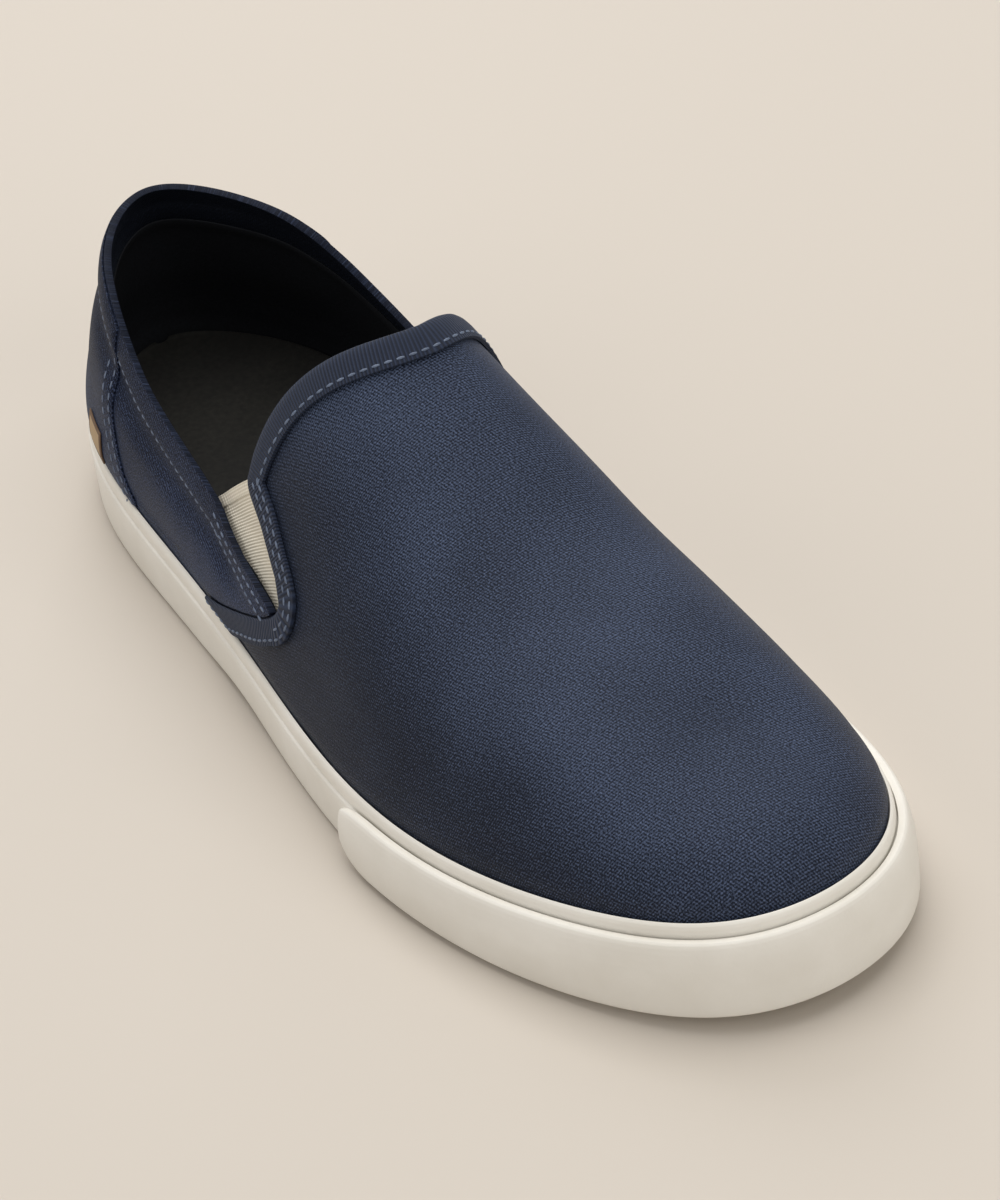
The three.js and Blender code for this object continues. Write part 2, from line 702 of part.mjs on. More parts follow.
// Heel counter: the outside panel round the back, from foxing to collar.
const counterUps = [0.012, ...quarterUps.slice(3, -1), 0.985];
const COUNTER_COLUMNS = 24;
const counterFront = through(COUNTER_FRONT.map((r) => [r.up, turnAt(r.along * SOLE_LENGTH)]));
function counterPoint(off) {
  return (i, j) => {
    const share = 1 - (2 * i) / COUNTER_COLUMNS;
    const up = counterUps[j];
    const turn = Math.abs(share) * counterFront(up);
    return skin(turn, girthAtUp(turn, up, share > 0), off);
  };
}
const counterOff = QUARTER_STEP + FIT;
const counter = sheet(
  COUNTER_COLUMNS,
  counterUps.length - 1,
  counterPoint(counterOff + COUNTER_THICKNESS),
  counterPoint(counterOff),
);
add("heel_counter", counter, 0x2c374c, 0.9);

// Heel label: a small bare tab on the counter, at the outer rear corner.
const labelOff = counterOff + COUNTER_THICKNESS + FIT;
const labelTurn = turnAt(LABEL_ALONG * SOLE_LENGTH);
const labelSpan = LABEL_LENGTH / frameAt(labelTurn, 0.2).forward.length();
function labelPoint(off) {
  return (i, j) => {
    const turn = labelTurn + (i / 4 - 0.5) * labelSpan;
    const z = bandTop(turn) + 1.5 + (j / 4) * LABEL_HEIGHT;
    return skin(turn, angleAt(turn, z), off);
  };
}
const label = sheet(4, 4, labelPoint(labelOff + LABEL_THICKNESS), labelPoint(labelOff));
add("heel_label", label, 0xb28a5e, 0.7);

// Insole: the loose sock on the footbed, its rim turned up a little at the heel.
const INSOLE_STEPS = 34;
const insoleInset = UPPER_INSET + WALL + FIT + FACET;
const insoleSection = (i) => {
  const turn = clamp((Math.PI * i) / INSOLE_STEPS, 0.05, Math.PI - 0.05);
  const low = seat(turn) + FIT;
  const side = [turn, TAU - turn].map((t) => new THREE.Vector3(...outline(t, insoleInset), low));
  const lift = (share, up) => {
    const p = side[0].clone().lerp(side[1], share);
    p.z += up;
    return p;
  };
  const t = INSOLE_THICKNESS;
  return [
    lift(0, 0),
    lift(0, t + 1),
    lift(0.12, t + 0.3),
    lift(0.5, t),
    lift(0.88, t + 0.3),
    lift(1, t + 1),
    lift(1, 0),
    lift(0.5, 0),
  ];
};
add("insole", sweep(INSOLE_STEPS + 1, insoleSection, false), 0x1a1a1c, 0.85);

// The frame's origin: on the floor, below the middle of the whole shoe.
const box = new THREE.Box3().setFromObject(shoe);
const middle = box.getCenter(new THREE.Vector3());
for (const mesh of shoe.children) mesh.geometry.translate(-middle.x, -middle.y, -box.min.z);

export default shoe;
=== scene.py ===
import math

import bmesh
import bpy
import numpy as np
from mathutils import Matrix, Vector


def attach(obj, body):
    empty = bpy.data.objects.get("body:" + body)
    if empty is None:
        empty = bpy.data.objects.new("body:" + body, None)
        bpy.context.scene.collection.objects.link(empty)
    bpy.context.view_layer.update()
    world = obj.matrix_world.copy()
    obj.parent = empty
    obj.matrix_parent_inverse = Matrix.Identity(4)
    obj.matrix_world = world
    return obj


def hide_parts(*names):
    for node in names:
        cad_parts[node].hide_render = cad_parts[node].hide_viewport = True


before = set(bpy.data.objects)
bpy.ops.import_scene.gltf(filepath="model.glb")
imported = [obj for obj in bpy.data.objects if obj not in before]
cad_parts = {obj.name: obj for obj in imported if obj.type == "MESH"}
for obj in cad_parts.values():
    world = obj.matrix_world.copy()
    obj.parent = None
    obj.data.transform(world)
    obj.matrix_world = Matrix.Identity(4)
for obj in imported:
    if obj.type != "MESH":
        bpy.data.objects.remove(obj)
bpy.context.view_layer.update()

# Outsole. The flat bottom of the shoe is gum rubber, pressed in a mould with cross grooves
# at heel and ball, and cemented under the lasted upper. The CAD solid stays and gets its
# rubber here. Lengths below are in millimetres, X from the heel towards the toe.
MM = 0.001
SOLE_LENGTH = 292.0
BALL_WIDTH = 97.0
HEEL_WIDTH = 75.5
TREAD_PITCH = 3.2
TREAD_DEPTH = 0.0006
WAVE_STEP = 0.314  # the step of a wave texture whose scale is 1


def linear(code):
    """An sRGB hex colour as the linear values a shader takes."""
    parts = [int(code[k : k + 2], 16) / 255 for k in (1, 3, 5)]
    values = [c / 12.92 if c <= 0.04045 else ((c + 0.055) / 1.055) ** 2.4 for c in parts]
    return (*values, 1.0)


def set_inputs(node, values):
    """Sets inputs of a node to plain values, hex colours or links."""
    for socket, value in values.items():
        if isinstance(value, bpy.types.NodeSocket):
            node.id_data.links.new(value, node.inputs[socket])
        else:
            plain = linear(value) if isinstance(value, str) else value
            node.inputs[socket].default_value = plain


def add_node(tree, kind, inputs=None, **settings):
    """One shader node with its settings and its inputs."""
    made = tree.nodes.new(kind)
    for name, value in settings.items():
        setattr(made, name, value)
    set_inputs(made, inputs or {})
    return made


def start_material(name, roughness, ior, **values):
    """An empty material with its shader, ready for the nodes of its finish."""
    material = bpy.data.materials.new(name)
    material.use_nodes = True
    tree = material.node_tree
    tree.nodes.clear()
    surface = add_node(tree, "ShaderNodeBsdfPrincipled", {"Roughness": roughness, "IOR": ior})
    set_inputs(surface, {key.replace("_", " "): values[key] for key in values})
    add_node(tree, "ShaderNodeOutputMaterial", {"Surface": surface.outputs["BSDF"]})
    return material, tree, surface


def object_place(tree):
    """The place in the piece, in metres."""
    return add_node(tree, "ShaderNodeTexCoord").outputs["Object"]


def clouds(tree, place, scale, detail=2.0, roughness=0.5):
    """Soft random clouds, a value from 0 to 1."""
    values = {"Vector": place, "Scale": scale, "Detail": detail, "Roughness": roughness}
    return add_node(tree, "ShaderNodeTexNoise", values).outputs["Fac"]


def waves(tree, place, pitch, direction="X", wobble=0.0, fine=1.0):
    """Parallel waves at a pitch in the units of the place, straight or a little uneven."""
    values = {"Vector": place, "Scale": WAVE_STEP / pitch}
    values |= {"Distortion": wobble, "Detail Scale": fine}
    return add_node(tree, "ShaderNodeTexWave", values, bands_direction=direction).outputs["Fac"]


def two_stops(tree, value, low, high):
    """A colour that goes from one to the other between two stops of a value."""
    made = add_node(tree, "ShaderNodeValToRGB", {"Fac": value})
    for element, (at, code) in zip(made.color_ramp.elements, (low, high)):
        element.position = at
        element.color = linear(code)
    return made.outputs["Color"]


def set_relief(tree, surface, height, depth, strength):
    """Fine relief from a value, as deep as given in metres."""
    values = {"Height": height, "Distance": depth, "Strength": strength}
    relief = add_node(tree, "ShaderNodeBump", values)
    set_inputs(surface, {"Normal": relief.outputs["Normal"]})


# Moulded natural rubber: dull, a little yellow, with faint flow marks and a ribbed tread.
gum_rubber, tree, surface = start_material("moulded_gum_rubber", 0.72, 1.52)
place = object_place(tree)
tint = two_stops(tree, clouds(tree, place, 45.0, 4.0), (0.3, "#c9c1ac"), (0.7, "#d6cfbd"))
set_inputs(surface, {"Base Color": tint})
tread = waves(tree, place, TREAD_PITCH * MM, "DIAGONAL")
set_relief(tree, surface, tread, TREAD_DEPTH, 0.8)
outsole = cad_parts["outsole"]
outsole.data.materials.clear()
outsole.data.materials.append(gum_rubber)

# Foxing. A strip of white rubber is wound round the side of the lasted shoe and cured on,
# so that it holds canvas and outsole together. It has a lip set back along its top and a
# fine line moulded below the lip.
FOXING_HEIGHT = 25.0
FOXING_THICKNESS = 2.4
FOXING_LIP = 5.0
LIP_DEPTH = 0.6
SEAT_HEIGHT = 15.0
TOE_SPRING = 4.5
ARCH_LIFT = 1.6
SIDE_STEP = 0.5
QUARTER_STEP = 0.7
FIT = 0.3
FACET = 0.15
UPPER_INSET = FOXING_THICKNESS + QUARTER_STEP + FIT + FACET
TO_FRAME = np.array([-147.83176, 3.78548, 0.0])  # from the heel's end to the frame's origin
TAU = 2 * math.pi

# Nine stations from heel to toe, at equal steps of the angle round the outline: how far
# the width has passed from the heel's to the ball's, the reach to each side as shares of
# that width, and the heights of foxing, footbed and ridge as shares of those at the heel.
STATIONS = {
    "to_ball": [0, 0, 0, 0.15, 0.5, 1, 1, 1, 1],
    "lateral": [0, 0.293, 0.502, 0.545, 0.567, 0.541, 0.427, 0.235, -0.03],
    "medial": [0, 0.275, 0.495, 0.489, 0.45, 0.459, 0.444, 0.3, 0.03],
    "band": [1, 0.936, 0.852, 0.78, 0.752, 0.784, 0.908, 1.064, 1.14],
    "seat": [1.0, 0.97, 0.87, 0.8, 0.77, 0.73, 0.77, 0.93, 1.03],
    "ridge": [1, 0.994, 0.967, 0.921, 0.795, 0.59, 0.5, 0.433, 0.411],
    "across": [0, 0.003, 0.011, 0.03, 0.05, 0.075, 0.085, 0.085, 0.085],
}


def smooth(v):
    t = np.clip(v, 0, 1)
    return t * t * (3 - 2 * t)


def mix(a, b, t):
    return a + (b - a) * t


def round_curve(values):
    """Smooth closed curve through values at equal steps of an angle."""
    values = np.array(values, float)
    n = len(values)
    knots = TAU * np.arange(n) / n
    sign = np.where(np.arange(n) % 2, -1.0, 1.0)

    def curve(angle):
        half = (np.asarray(angle, float)[..., None] - knots) / 2
        half = np.where(np.abs(np.sin(half)) < 1e-9, half + 1e-8, half)
        weight = sign / np.tan(half)
        return (weight * values).sum(-1) / weight.sum(-1)

    return curve


def column(name):
    there = STATIONS[name]
    return round_curve(there + there[-2:0:-1])


local_width = mix(HEEL_WIDTH, BALL_WIDTH, np.array(STATIONS["to_ball"]))
out_side = list(-local_width * STATIONS["lateral"])
in_side = list(local_width * STATIONS["medial"])
sideways = round_curve(out_side + in_side[-2:0:-1])
band_share = column("band")
seat_share = column("seat")


def along_at(turn):
    return SOLE_LENGTH / 2 * (1 - np.cos(turn))


def turn_at(x):
    return np.arccos(np.clip(1 - 2 * np.asarray(x, float) / SOLE_LENGTH, -1, 1))


def outline(turn, inset):
    """Point on the sole's outline, moved in by inset."""
    e = 1e-4
    dx = SOLE_LENGTH / 2 * np.sin(turn)
    dy = (sideways(turn + e) - sideways(turn - e)) / (2 * e)
    n = np.hypot(dx, dy)
    return along_at(turn) - dy / n * inset, sideways(turn) + dx / n * inset


def half_turn(turn):
    return np.where(turn > math.pi, TAU - turn, turn)


def band_top(turn):
    return FOXING_HEIGHT * band_share(turn)


def seat(turn):
    return SEAT_HEIGHT * seat_share(turn)


def underside(x):
    s = x / SOLE_LENGTH
    toe = np.clip((s - 0.8) / 0.2, 0, 1)
    arch = np.clip((s - 0.33) / 0.2, 0, 1)
    return TOE_SPRING * toe * toe + ARCH_LIFT * np.sin(math.pi * arch) ** 2


def along_profile(rows, share):
    """Point at a share of the way round a short table of profile points."""
    rows = np.array(rows, float)
    steps = np.linspace(0, 1, len(rows))
    return [np.interp(share, steps, rows[:, k]) for k in range(rows.shape[1])]


def form(columns, rows, surface_at, cloth_at=None):
    """A bmesh grid laid on a surface: surface_at takes shares of its two sides and gives
    millimetres, cloth_at gives the place on the cloth in millimetres for the UV map."""
    bm = bmesh.new()
    bmesh.ops.create_grid(bm, x_segments=columns, y_segments=rows, size=0.5)
    bm.verts.index_update()
    flat = np.array([v.co[:2] for v in bm.verts]) + 0.5
    points = (surface_at(flat[:, 0], flat[:, 1]) + TO_FRAME) * MM
    if cloth_at is not None:
        cloth = cloth_at(flat[:, 0], flat[:, 1])
        layer = bm.loops.layers.uv.new("cloth")
        for face in bm.faces:
            for loop in face.loops:
                loop[layer].uv = cloth[loop.vert.index]
    for v, p in zip(bm.verts, points):
        v.co = p
    bmesh.ops.remove_doubles(bm, verts=bm.verts, dist=0.02 * MM)
    return bm


def new_object(name, data):
    made = bpy.data.objects.new(name, data)
    bpy.context.scene.collection.objects.link(made)
    return made


def piece_of(bm, name, material, node_name=None, sharp=40):
    mesh = bpy.data.meshes.new(name)
    bm.to_mesh(mesh)
    bm.free()
    mesh.shade_smooth()
    mesh.set_sharp_from_angle(angle=math.radians(sharp))
    mesh.materials.append(material)
    made = new_object(name, mesh)
    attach(made, "root")
    if node_name:
        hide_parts(node_name)
    return made


def quarter_lap(turn):
    return QUARTER_STEP * (1 - smooth((along_at(turn) / SOLE_LENGTH - 0.33) / 0.05))


# How far the cloth leans out over the rubber at its foot, by its height over the rubber.
FOOT_INSET = 1.62
FOOT = [
    (-4.5, 0), (-2.6, 0.45), (-1.2, 0.9), (0, 1), (2, 1.03), (4, 0.9), (8, 0.5), (14, 0.12),
    (20, 0),
]

# The band's section: inset, share of the way to its inner wall, height, and whether the
# height counts from the bottom edge (0) or the top (1).
FOXING_PROFILE = [
    (0, 1, 0, 0), (1.4, 0, 0, 0), (0.5, 0, 0.25, 0), (0.1, 0, 0.8, 0), (0, 0, 1.5, 0),
    (0, 0, -FOXING_LIP - 0.25, 1), (0.1, 0, -FOXING_LIP + 0.05, 1),
    (LIP_DEPTH, 0, -FOXING_LIP + 0.35, 1), (LIP_DEPTH, 0, -FOXING_LIP + 0.8, 1),
    (LIP_DEPTH - 0.14, 0, -FOXING_LIP + 1.5, 1), (LIP_DEPTH - 0.16, 0, -2.2, 1),
    (LIP_DEPTH - 0.02, 0, -1.2, 1), (LIP_DEPTH + 0.25, 0, -0.5, 1),
    (LIP_DEPTH + 0.6, 0, -0.1, 1), (FOOT_INSET - 0.1, 0, 0.02, 1),
    (FOOT_INSET + 0.02, 0, -0.3, 1), (FOOT_INSET + 0.3, 0, -1.6, 1),
    (FOOT_INSET + 0.9, 0, -2.8, 1), (0, 1, -4.8, 1), (0, 1, 0, 0),
]


def foxing_surface(u, v):
    turn = TAU * u
    half = half_turn(turn)
    inner = UPPER_INSET - FIT - FACET - quarter_lap(half)
    low = underside(along_at(turn)) + SIDE_STEP
    inset, inward, up, from_top = along_profile(FOXING_PROFILE, v)
    x, y = outline(turn, inset + inward * inner)
    return np.stack([x, y, mix(low, band_top(half), from_top) + up], -1)


def map_range(tree, value, before, after, **settings):
    """A value taken from one range to another and held inside it."""
    values = {"Value": value, "From Min": before[0], "From Max": before[1]}
    values |= {"To Min": after[0], "To Max": after[1]}
    return add_node(tree, "ShaderNodeMapRange", values, **settings).outputs["Result"]


def set_colour(tree, surface, level, low, high):
    """The shader's colour, between two others by a level from 0 to 1."""
    tint = add_node(tree, "ShaderNodeMix", {0: level, 6: low, 7: high}, data_type="RGBA")
    set_inputs(surface, {"Base Color": tint.outputs[2]})


# Vulcanised white rubber: off-white, satin, with a bloom of fine speckles, slightly
# darker towards the bottom of the side, over its lowest 12 mm.
DARKER_BELOW_HEIGHT = 0.012
white_rubber, tree, surface = start_material("vulcanised_white_rubber", 0.5, 1.52)
place = object_place(tree)
bloom = clouds(tree, place, 60.0, 5.0)
tint = two_stops(tree, bloom, (0.25, "#e6e2d9"), (0.75, "#f1eee7"))
height = add_node(tree, "ShaderNodeSeparateXYZ", {"Vector": place}).outputs["Z"]
# Darker towards the bottom: the colour shifts towards grey below this height.
low_down = map_range(tree, height, (0.0, DARKER_BELOW_HEIGHT), (0.35, 0.0))
set_colour(tree, surface, low_down, tint, "#dad5ca")
set_inputs(surface, {"Roughness": map_range(tree, bloom, (0.0, 1.0), (0.42, 0.6))})
set_relief(tree, surface, clouds(tree, place, 900.0, 3.0), 0.00012, 0.35)

bm = form(360, 4 * (len(FOXING_PROFILE) - 1), foxing_surface)
bmesh.ops.recalc_face_normals(bm, faces=bm.faces)
piece_of(bm, "foxing_band", white_rubber, "foxing", sharp=50)

# Toe bumper. A second, thicker strip of the same rubber goes round the toe below the
# foxing's lip. It thins towards its top edge and its two ends are cut round.
BUMPER_THICKNESS = 3.4
BUMPER_BELOW_LIP = 2.6
BUMPER_ABOVE_SIDE = 0.8
BUMPER_ROUNDED = 1 / 26  # share of the strip that is cut round at each end
BUMPER_START = float(turn_at(0.635 * SOLE_LENGTH))
BUMPER_END = TAU - float(turn_at(0.62 * SOLE_LENGTH))

# Whether each corner is out on the strip's face, and whether it is at the top, with the
# extra out and up that round the strip's edges.
BUMPER_PROFILE = [
    (0, 0, 0, 0), (1, 0, -1.3, 0), (1, 0, -0.5, 0.2), (1, 0, -0.12, 0.7), (1, 0, 0, 1.5),
    (1, 1, 0, -9), (1, 1, -0.2, -6.5), (1, 1, -0.55, -4.2), (1, 1, -0.95, -2.4),
    (1, 1, -1.35, -1.1), (1, 1, -1.75, -0.35), (1, 1, -2.2, -0.02), (1, 1, -2.7, -0.05),
    (0, 1, 0, -0.3), (0, 0, 0, 0),
]


def bumper_surface(u, v):
    turn = mix(BUMPER_START, BUMPER_END, u)
    reach = np.clip(np.minimum(u, 1 - u) / BUMPER_ROUNDED, 0, 1)
    swell = np.sqrt(1 - (1 - reach) ** 2)
    low = underside(along_at(turn)) + SIDE_STEP + BUMPER_ABOVE_SIDE
    top = band_top(half_turn(turn)) - FIT - BUMPER_BELOW_LIP
    side, high, out, up = along_profile(BUMPER_PROFILE, v)
    half = (top - low) / 2 * mix(0.3, 1, swell)
    soft = mix(0.4, 1, swell)
    thick = FIT + BUMPER_THICKNESS * mix(0.45, 1, swell)
    x, y = outline(turn, -(0.02 + side * thick + out * soft))
    return np.stack([x, y, (low + top) / 2 + mix(-half, half, high) + up * soft], -1)


bm = form(260, 4 * (len(BUMPER_PROFILE) - 1), bumper_surface)
bmesh.ops.holes_fill(bm, edges=[e for e in bm.edges if e.is_boundary])
bmesh.ops.recalc_face_normals(bm, faces=bm.faces)
piece_of(bm, "toe_bumper_strip", white_rubber, "toe_bumper", sharp=50)

# Upper. Cotton twill, dyed navy, cut to a vamp and two quarters and drawn over the last.
# The vamp runs from the toe to the throat and laps under the quarters at the sides.
WALL = 1.8
AT_RIDGE = math.pi / 2  # the girth at the top of the last, half way over
RIDGE_HEIGHT = 113.5
COLLAR_HEIGHT = 68.0
QUARTER_PUFF = 1.7
FOXING_SWELL = 1.4
SWELL_START = 0.4
SWELL_RISE = 3
VAMP_LENGTH = 151.0
HEEL_ROUNDNESS = 1.55
TOE_ROUNDNESS = 1.98
RIDGE_FROM_HEEL = 0.154
RIDGE_FROM_TOE = 0.144
TUCK = 4.0
MEDIAL_SHIFT = 0.024
LOW_LANE = 0.1
ROW_SPREAD = 0.9  # below 1, the rows of the vamp's grid open out towards its rear edge

# Height of the collar: share of the length, share of the collar height.
COLLAR = [
    (0.0, 1.0), (0.041, 0.975), (0.1, 0.935), (0.14, 0.888), (0.182, 0.828), (0.22, 0.778),
    (0.27, 0.737), (0.33, 0.7), (0.385, 0.67), (0.6, 0.67),
]

# Rear edge of the vamp, from its lap at the foxing to the corner of the throat: share of
# the length, and height between the foxing's top (0) and the collar (1).
VAMP_REAR = [
    (0.265, 0.01), (0.34, 0.27), (0.438, 0.52), (0.497, 0.69), (0.5075, 0.76), (0.509, 0.83),
    (0.502, 0.92), (0.483, 1.06), (0.4575, 1.24), (0.418, 1.5),
]


def through(rows):
    """Smooth curve through rows of x and y that doesn't overshoot them."""
    x, y = np.array(rows, float).T
    step = np.diff(y) / np.diff(x)
    product = step[:-1] * step[1:]
    total = step[:-1] + step[1:]
    inner = np.where(product > 0, 2 * product / np.where(product > 0, total, 1), 0)
    slope = np.concatenate([[step[0]], inner, [step[-1]]])

    def curve(at):
        at = np.clip(at, x[0], x[-1])
        i = np.clip(np.searchsorted(x, at, side="right") - 1, 0, len(x) - 2)
        h = x[i + 1] - x[i]
        t = (at - x[i]) / h
        rise = t * t * (3 - 2 * t)
        lead = t * (1 - t) ** 2 * slope[i]
        trail = t * t * (1 - t) * slope[i + 1]
        return y[i] + (y[i + 1] - y[i]) * rise + h * (lead - trail)

    return curve


collar_at = through([(s * SOLE_LENGTH, up * COLLAR_HEIGHT) for s, up in COLLAR])
ridge_share = column("ridge")
across_share = column("across")
ridge_start = RIDGE_FROM_HEEL * SOLE_LENGTH
ridge_end = (1 - RIDGE_FROM_TOE) * SOLE_LENGTH


def ridge_x(turn):
    return mix(ridge_start, ridge_end, (1 - np.cos(turn)) / 2)


def ridge_z(turn):
    return RIDGE_HEIGHT * ridge_share(turn)


def feather_z(turn):
    return band_top(turn) - TUCK


def roundness(turn):
    s = (1 - np.cos(turn)) / 2
    return mix(HEEL_ROUNDNESS, TOE_ROUNDNESS, smooth((s - 0.15) / 0.5))


def ridge_slope(turn):
    t = np.clip(turn, 0.05, math.pi - 0.05)
    e = 0.01
    return (ridge_z(t + e) - ridge_z(t - e)) / (ridge_x(t + e) - ridge_x(t - e))


def last(turn, girth):
    """Point on the last: turn runs from heel to toe, girth over the ridge side to side."""
    inner = girth > AT_RIDGE
    angle = np.where(inner, math.pi - girth, girth)
    fx, fy = outline(np.where(inner, TAU - turn, turn), UPPER_INSET)
    fz = feather_z(turn)
    open_angle = np.clip(angle, 0, AT_RIDGE)
    power = 2 / roundness(turn)
    out = np.maximum(0, np.cos(open_angle)) ** power
    up = np.sin(open_angle) ** power
    ax = ridge_x(turn)
    ay = BALL_WIDTH * across_share(turn)
    lean = ridge_slope(turn) * (fx - ax) * out * (1 - out) ** 2
    skirt = np.minimum(angle, 0) * (fz - seat(turn) - FIT)
    z = mix(fz, ridge_z(turn), up) + lean + skirt
    return np.stack([mix(ax, fx, out), mix(ay, fy, out), z], -1)


def frame_at(turn, girth):
    """The two directions along the last's surface and the one out of it."""
    e = 1e-3
    t = np.clip(turn, e, math.pi - e)
    forward = (last(t + e, girth) - last(t - e, girth)) / (2 * e)
    over = (last(t, girth + e) - last(t, girth - e)) / (2 * e)
    normal = np.cross(forward, over)
    size = np.linalg.norm(normal, axis=-1, keepdims=True)
    normal = np.where(size < 1e-6, np.array([0.0, 0.0, 1.0]), normal / np.maximum(size, 1e-9))
    return forward, over, normal


foot_curve = through(FOOT)


def puff(turn, z, step=0.0):
    """How far the cloth stands off the last: over the foxing's edge and on the quarters."""
    x = along_at(turn)
    low = band_top(turn) + SWELL_START
    over = (z - low) / SWELL_RISE
    swell = FOXING_SWELL * smooth(over) * (1 - smooth((over - 1) / 5))
    h = np.clip((z - low) / (collar_at(x) - low), 0, 1)
    s = x / SOLE_LENGTH
    lap = QUARTER_STEP * (1 - smooth((s - 0.3) / 0.06))
    foot = (UPPER_INSET - FOOT_INSET - np.maximum(lap, step)) * foot_curve(z - band_top(turn))
    where = smooth((s - 0.03) / 0.14) * (1 - smooth((s - 0.46) / 0.14))
    return np.maximum(swell, foot) + QUARTER_PUFF * where * np.sin(math.pi * h) ** 0.8


def skin(turn, girth, off, step=0.0):
    at = last(turn, girth)
    normal = frame_at(turn, girth)[2]
    return at + normal * np.asarray(off + step + puff(turn, at[..., 2], step))[..., None]


def angle_at(turn, z):
    share = np.clip((z - feather_z(turn)) / (ridge_z(turn) - feather_z(turn)), 0, 1)
    return np.arcsin(share ** (roundness(turn) / 2))


def side_x(along, inner):
    """The X of a share of the length: all cuts lie a little further on at the inner side."""
    return (along + (MEDIAL_SHIFT if inner else 0)) * SOLE_LENGTH


def on_side(along, up, inner):
    """Turn and girth of a point given by its length and its height share on one side."""
    x = side_x(along, inner)
    turn = turn_at(x)
    angle = angle_at(turn, mix(band_top(turn), collar_at(x), up))
    return turn, (math.pi - angle if inner else angle)


def girth_of_lane(turn, lane):
    inner = lane > AT_RIDGE
    own = np.where(inner, math.pi - lane, lane)
    rim = angle_at(turn, band_top(turn) + FIT)
    above = mix(rim, AT_RIDGE, (own - LOW_LANE) / (AT_RIDGE - LOW_LANE))
    angle = np.where(own >= LOW_LANE, above, np.where(own >= 0, rim * own / LOW_LANE, own))
    return np.where(inner, math.pi - angle, angle)


def lane_of_girth(turn, girth):
    inner = girth > AT_RIDGE
    angle = math.pi - girth if inner else girth
    rim = angle_at(turn, band_top(turn) + FIT)
    above = mix(LOW_LANE, AT_RIDGE, (angle - rim) / (AT_RIDGE - rim))
    own = above if angle > rim else LOW_LANE * angle / rim
    return float(math.pi - own if inner else own)


def vamp_side(inner):
    rows = []
    for along, up in VAMP_REAR:
        turn, girth = on_side(along, up, inner)
        rows.append((lane_of_girth(turn, girth), float(turn)))
    return rows


outer_edge = vamp_side(False)
inner_edge = vamp_side(True)[::-1]
rear_out = through(outer_edge)
rear_in = through(inner_edge)
corner_out = outer_edge[-1]
corner_in = inner_edge[0]
throat_turn = float(turn_at(SOLE_LENGTH - VAMP_LENGTH))


def vamp_rear(lane):
    """Rear edge of the vamp for each lane: side edge, throat, side edge."""
    near = np.where(lane < AT_RIDGE, corner_out[0], corner_in[0])
    start = np.where(lane < AT_RIDGE, corner_out[1], corner_in[1])
    way = np.clip((lane - near) / (AT_RIDGE - near), 0, 1)
    throat = mix(start, throat_turn, np.sin(math.pi / 2 * way) ** 2.4)
    from_throat = np.where(lane >= corner_in[0], rear_in(lane), throat)
    return np.where(lane <= corner_out[0], rear_out(lane), from_throat)


def way_along(points):
    """The way walked from the first of a row of points to each."""
    steps = np.linalg.norm(np.diff(points, axis=0), axis=1)
    return np.concatenate([[0], np.cumsum(steps)])


def cloth_place(turn, girth):
    """Where a point lies on the flat cloth: along the ridge, then down the section."""
    steps = 20
    spine = np.linspace(0, math.pi, 200)
    spine_way = way_along(last(spine, np.full(200, AT_RIDGE)))
    down = np.zeros_like(turn)
    before = last(turn, np.full_like(turn, AT_RIDGE))
    for k in range(1, steps + 1):
        there = last(turn, mix(AT_RIDGE, girth, k / steps))
        down += np.linalg.norm(there - before, axis=-1)
        before = there
    fx, fy = outline(np.where(girth > AT_RIDGE, TAU - turn, turn), UPPER_INSET)
    across = BALL_WIDTH * across_share(turn)
    dx, dy = fx - ridge_x(turn), fy - across
    n = np.maximum(np.hypot(dx, dy), 1e-6)
    start = np.interp(turn, spine, spine_way)
    return np.stack([start + dx / n * down, across + dy / n * down], -1)


# Creases, listed as shares of the sole's length along and of the ball's width
# across, seen from above: two ends, width of the fold and its height in millimetres.
CREASES = [
    (0.6, -0.3, 0.7, -0.36, 12.0, -0.5), (0.63, -0.18, 0.69, -0.02, 14.0, -0.45),
    (0.67, 0.2, 0.61, 0.38, 13.0, -0.5), (0.57, -0.26, 0.64, -0.16, 13.0, 0.35),
    (0.53, -0.3, 0.575, -0.4, 9.0, -0.5), (0.52, 0.12, 0.6, 0.26, 16.0, 0.4),
    (0.75, -0.3, 0.8, -0.12, 17.0, -0.3), (0.76, 0.3, 0.82, 0.42, 16.0, -0.3),
    (0.86, 0.02, 0.9, 0.2, 18.0, 0.25),
]


def fold_height(here, rows, place_of):
    """Height of soft troughs and ridges at points: rows of both ends, width and height."""
    total = np.zeros(len(here))
    for *ends, width, height in rows:
        a, b = place_of(*ends[:2]), place_of(*ends[2:])
        t = np.clip((here - a) @ (b - a) / ((b - a) @ (b - a)), 0, 1)
        far = np.linalg.norm(here - (a + t[:, None] * (b - a)), axis=1)
        total += height * np.exp(-((far / width) ** 2))
    return total


def from_above(along, across):
    return np.array([along * SOLE_LENGTH, across * BALL_WIDTH])


def vamp_lane(v):
    """Lane across the vamp: a few rows below the foxing's top, the rest above it."""
    knots = [0, 0.03, 0.06, 0.94, 0.97, 1]
    lanes = [-1, 0, LOW_LANE, math.pi - LOW_LANE, math.pi, math.pi + 1]
    return np.interp(v, knots, lanes)


def vamp_grid(u, v):
    lane = vamp_lane(v)
    turn = mix(vamp_rear(lane), math.pi, u**ROW_SPREAD)
    return turn, girth_of_lane(turn, lane)


def vamp_surface(u, v):
    turn, girth = vamp_grid(u, v)
    away = smooth((u - 0.05) / 0.15) * smooth((1 - u) / 0.1)
    creases = fold_height(last(turn, girth)[:, :2], CREASES, from_above)
    return skin(turn, girth, creases * away)
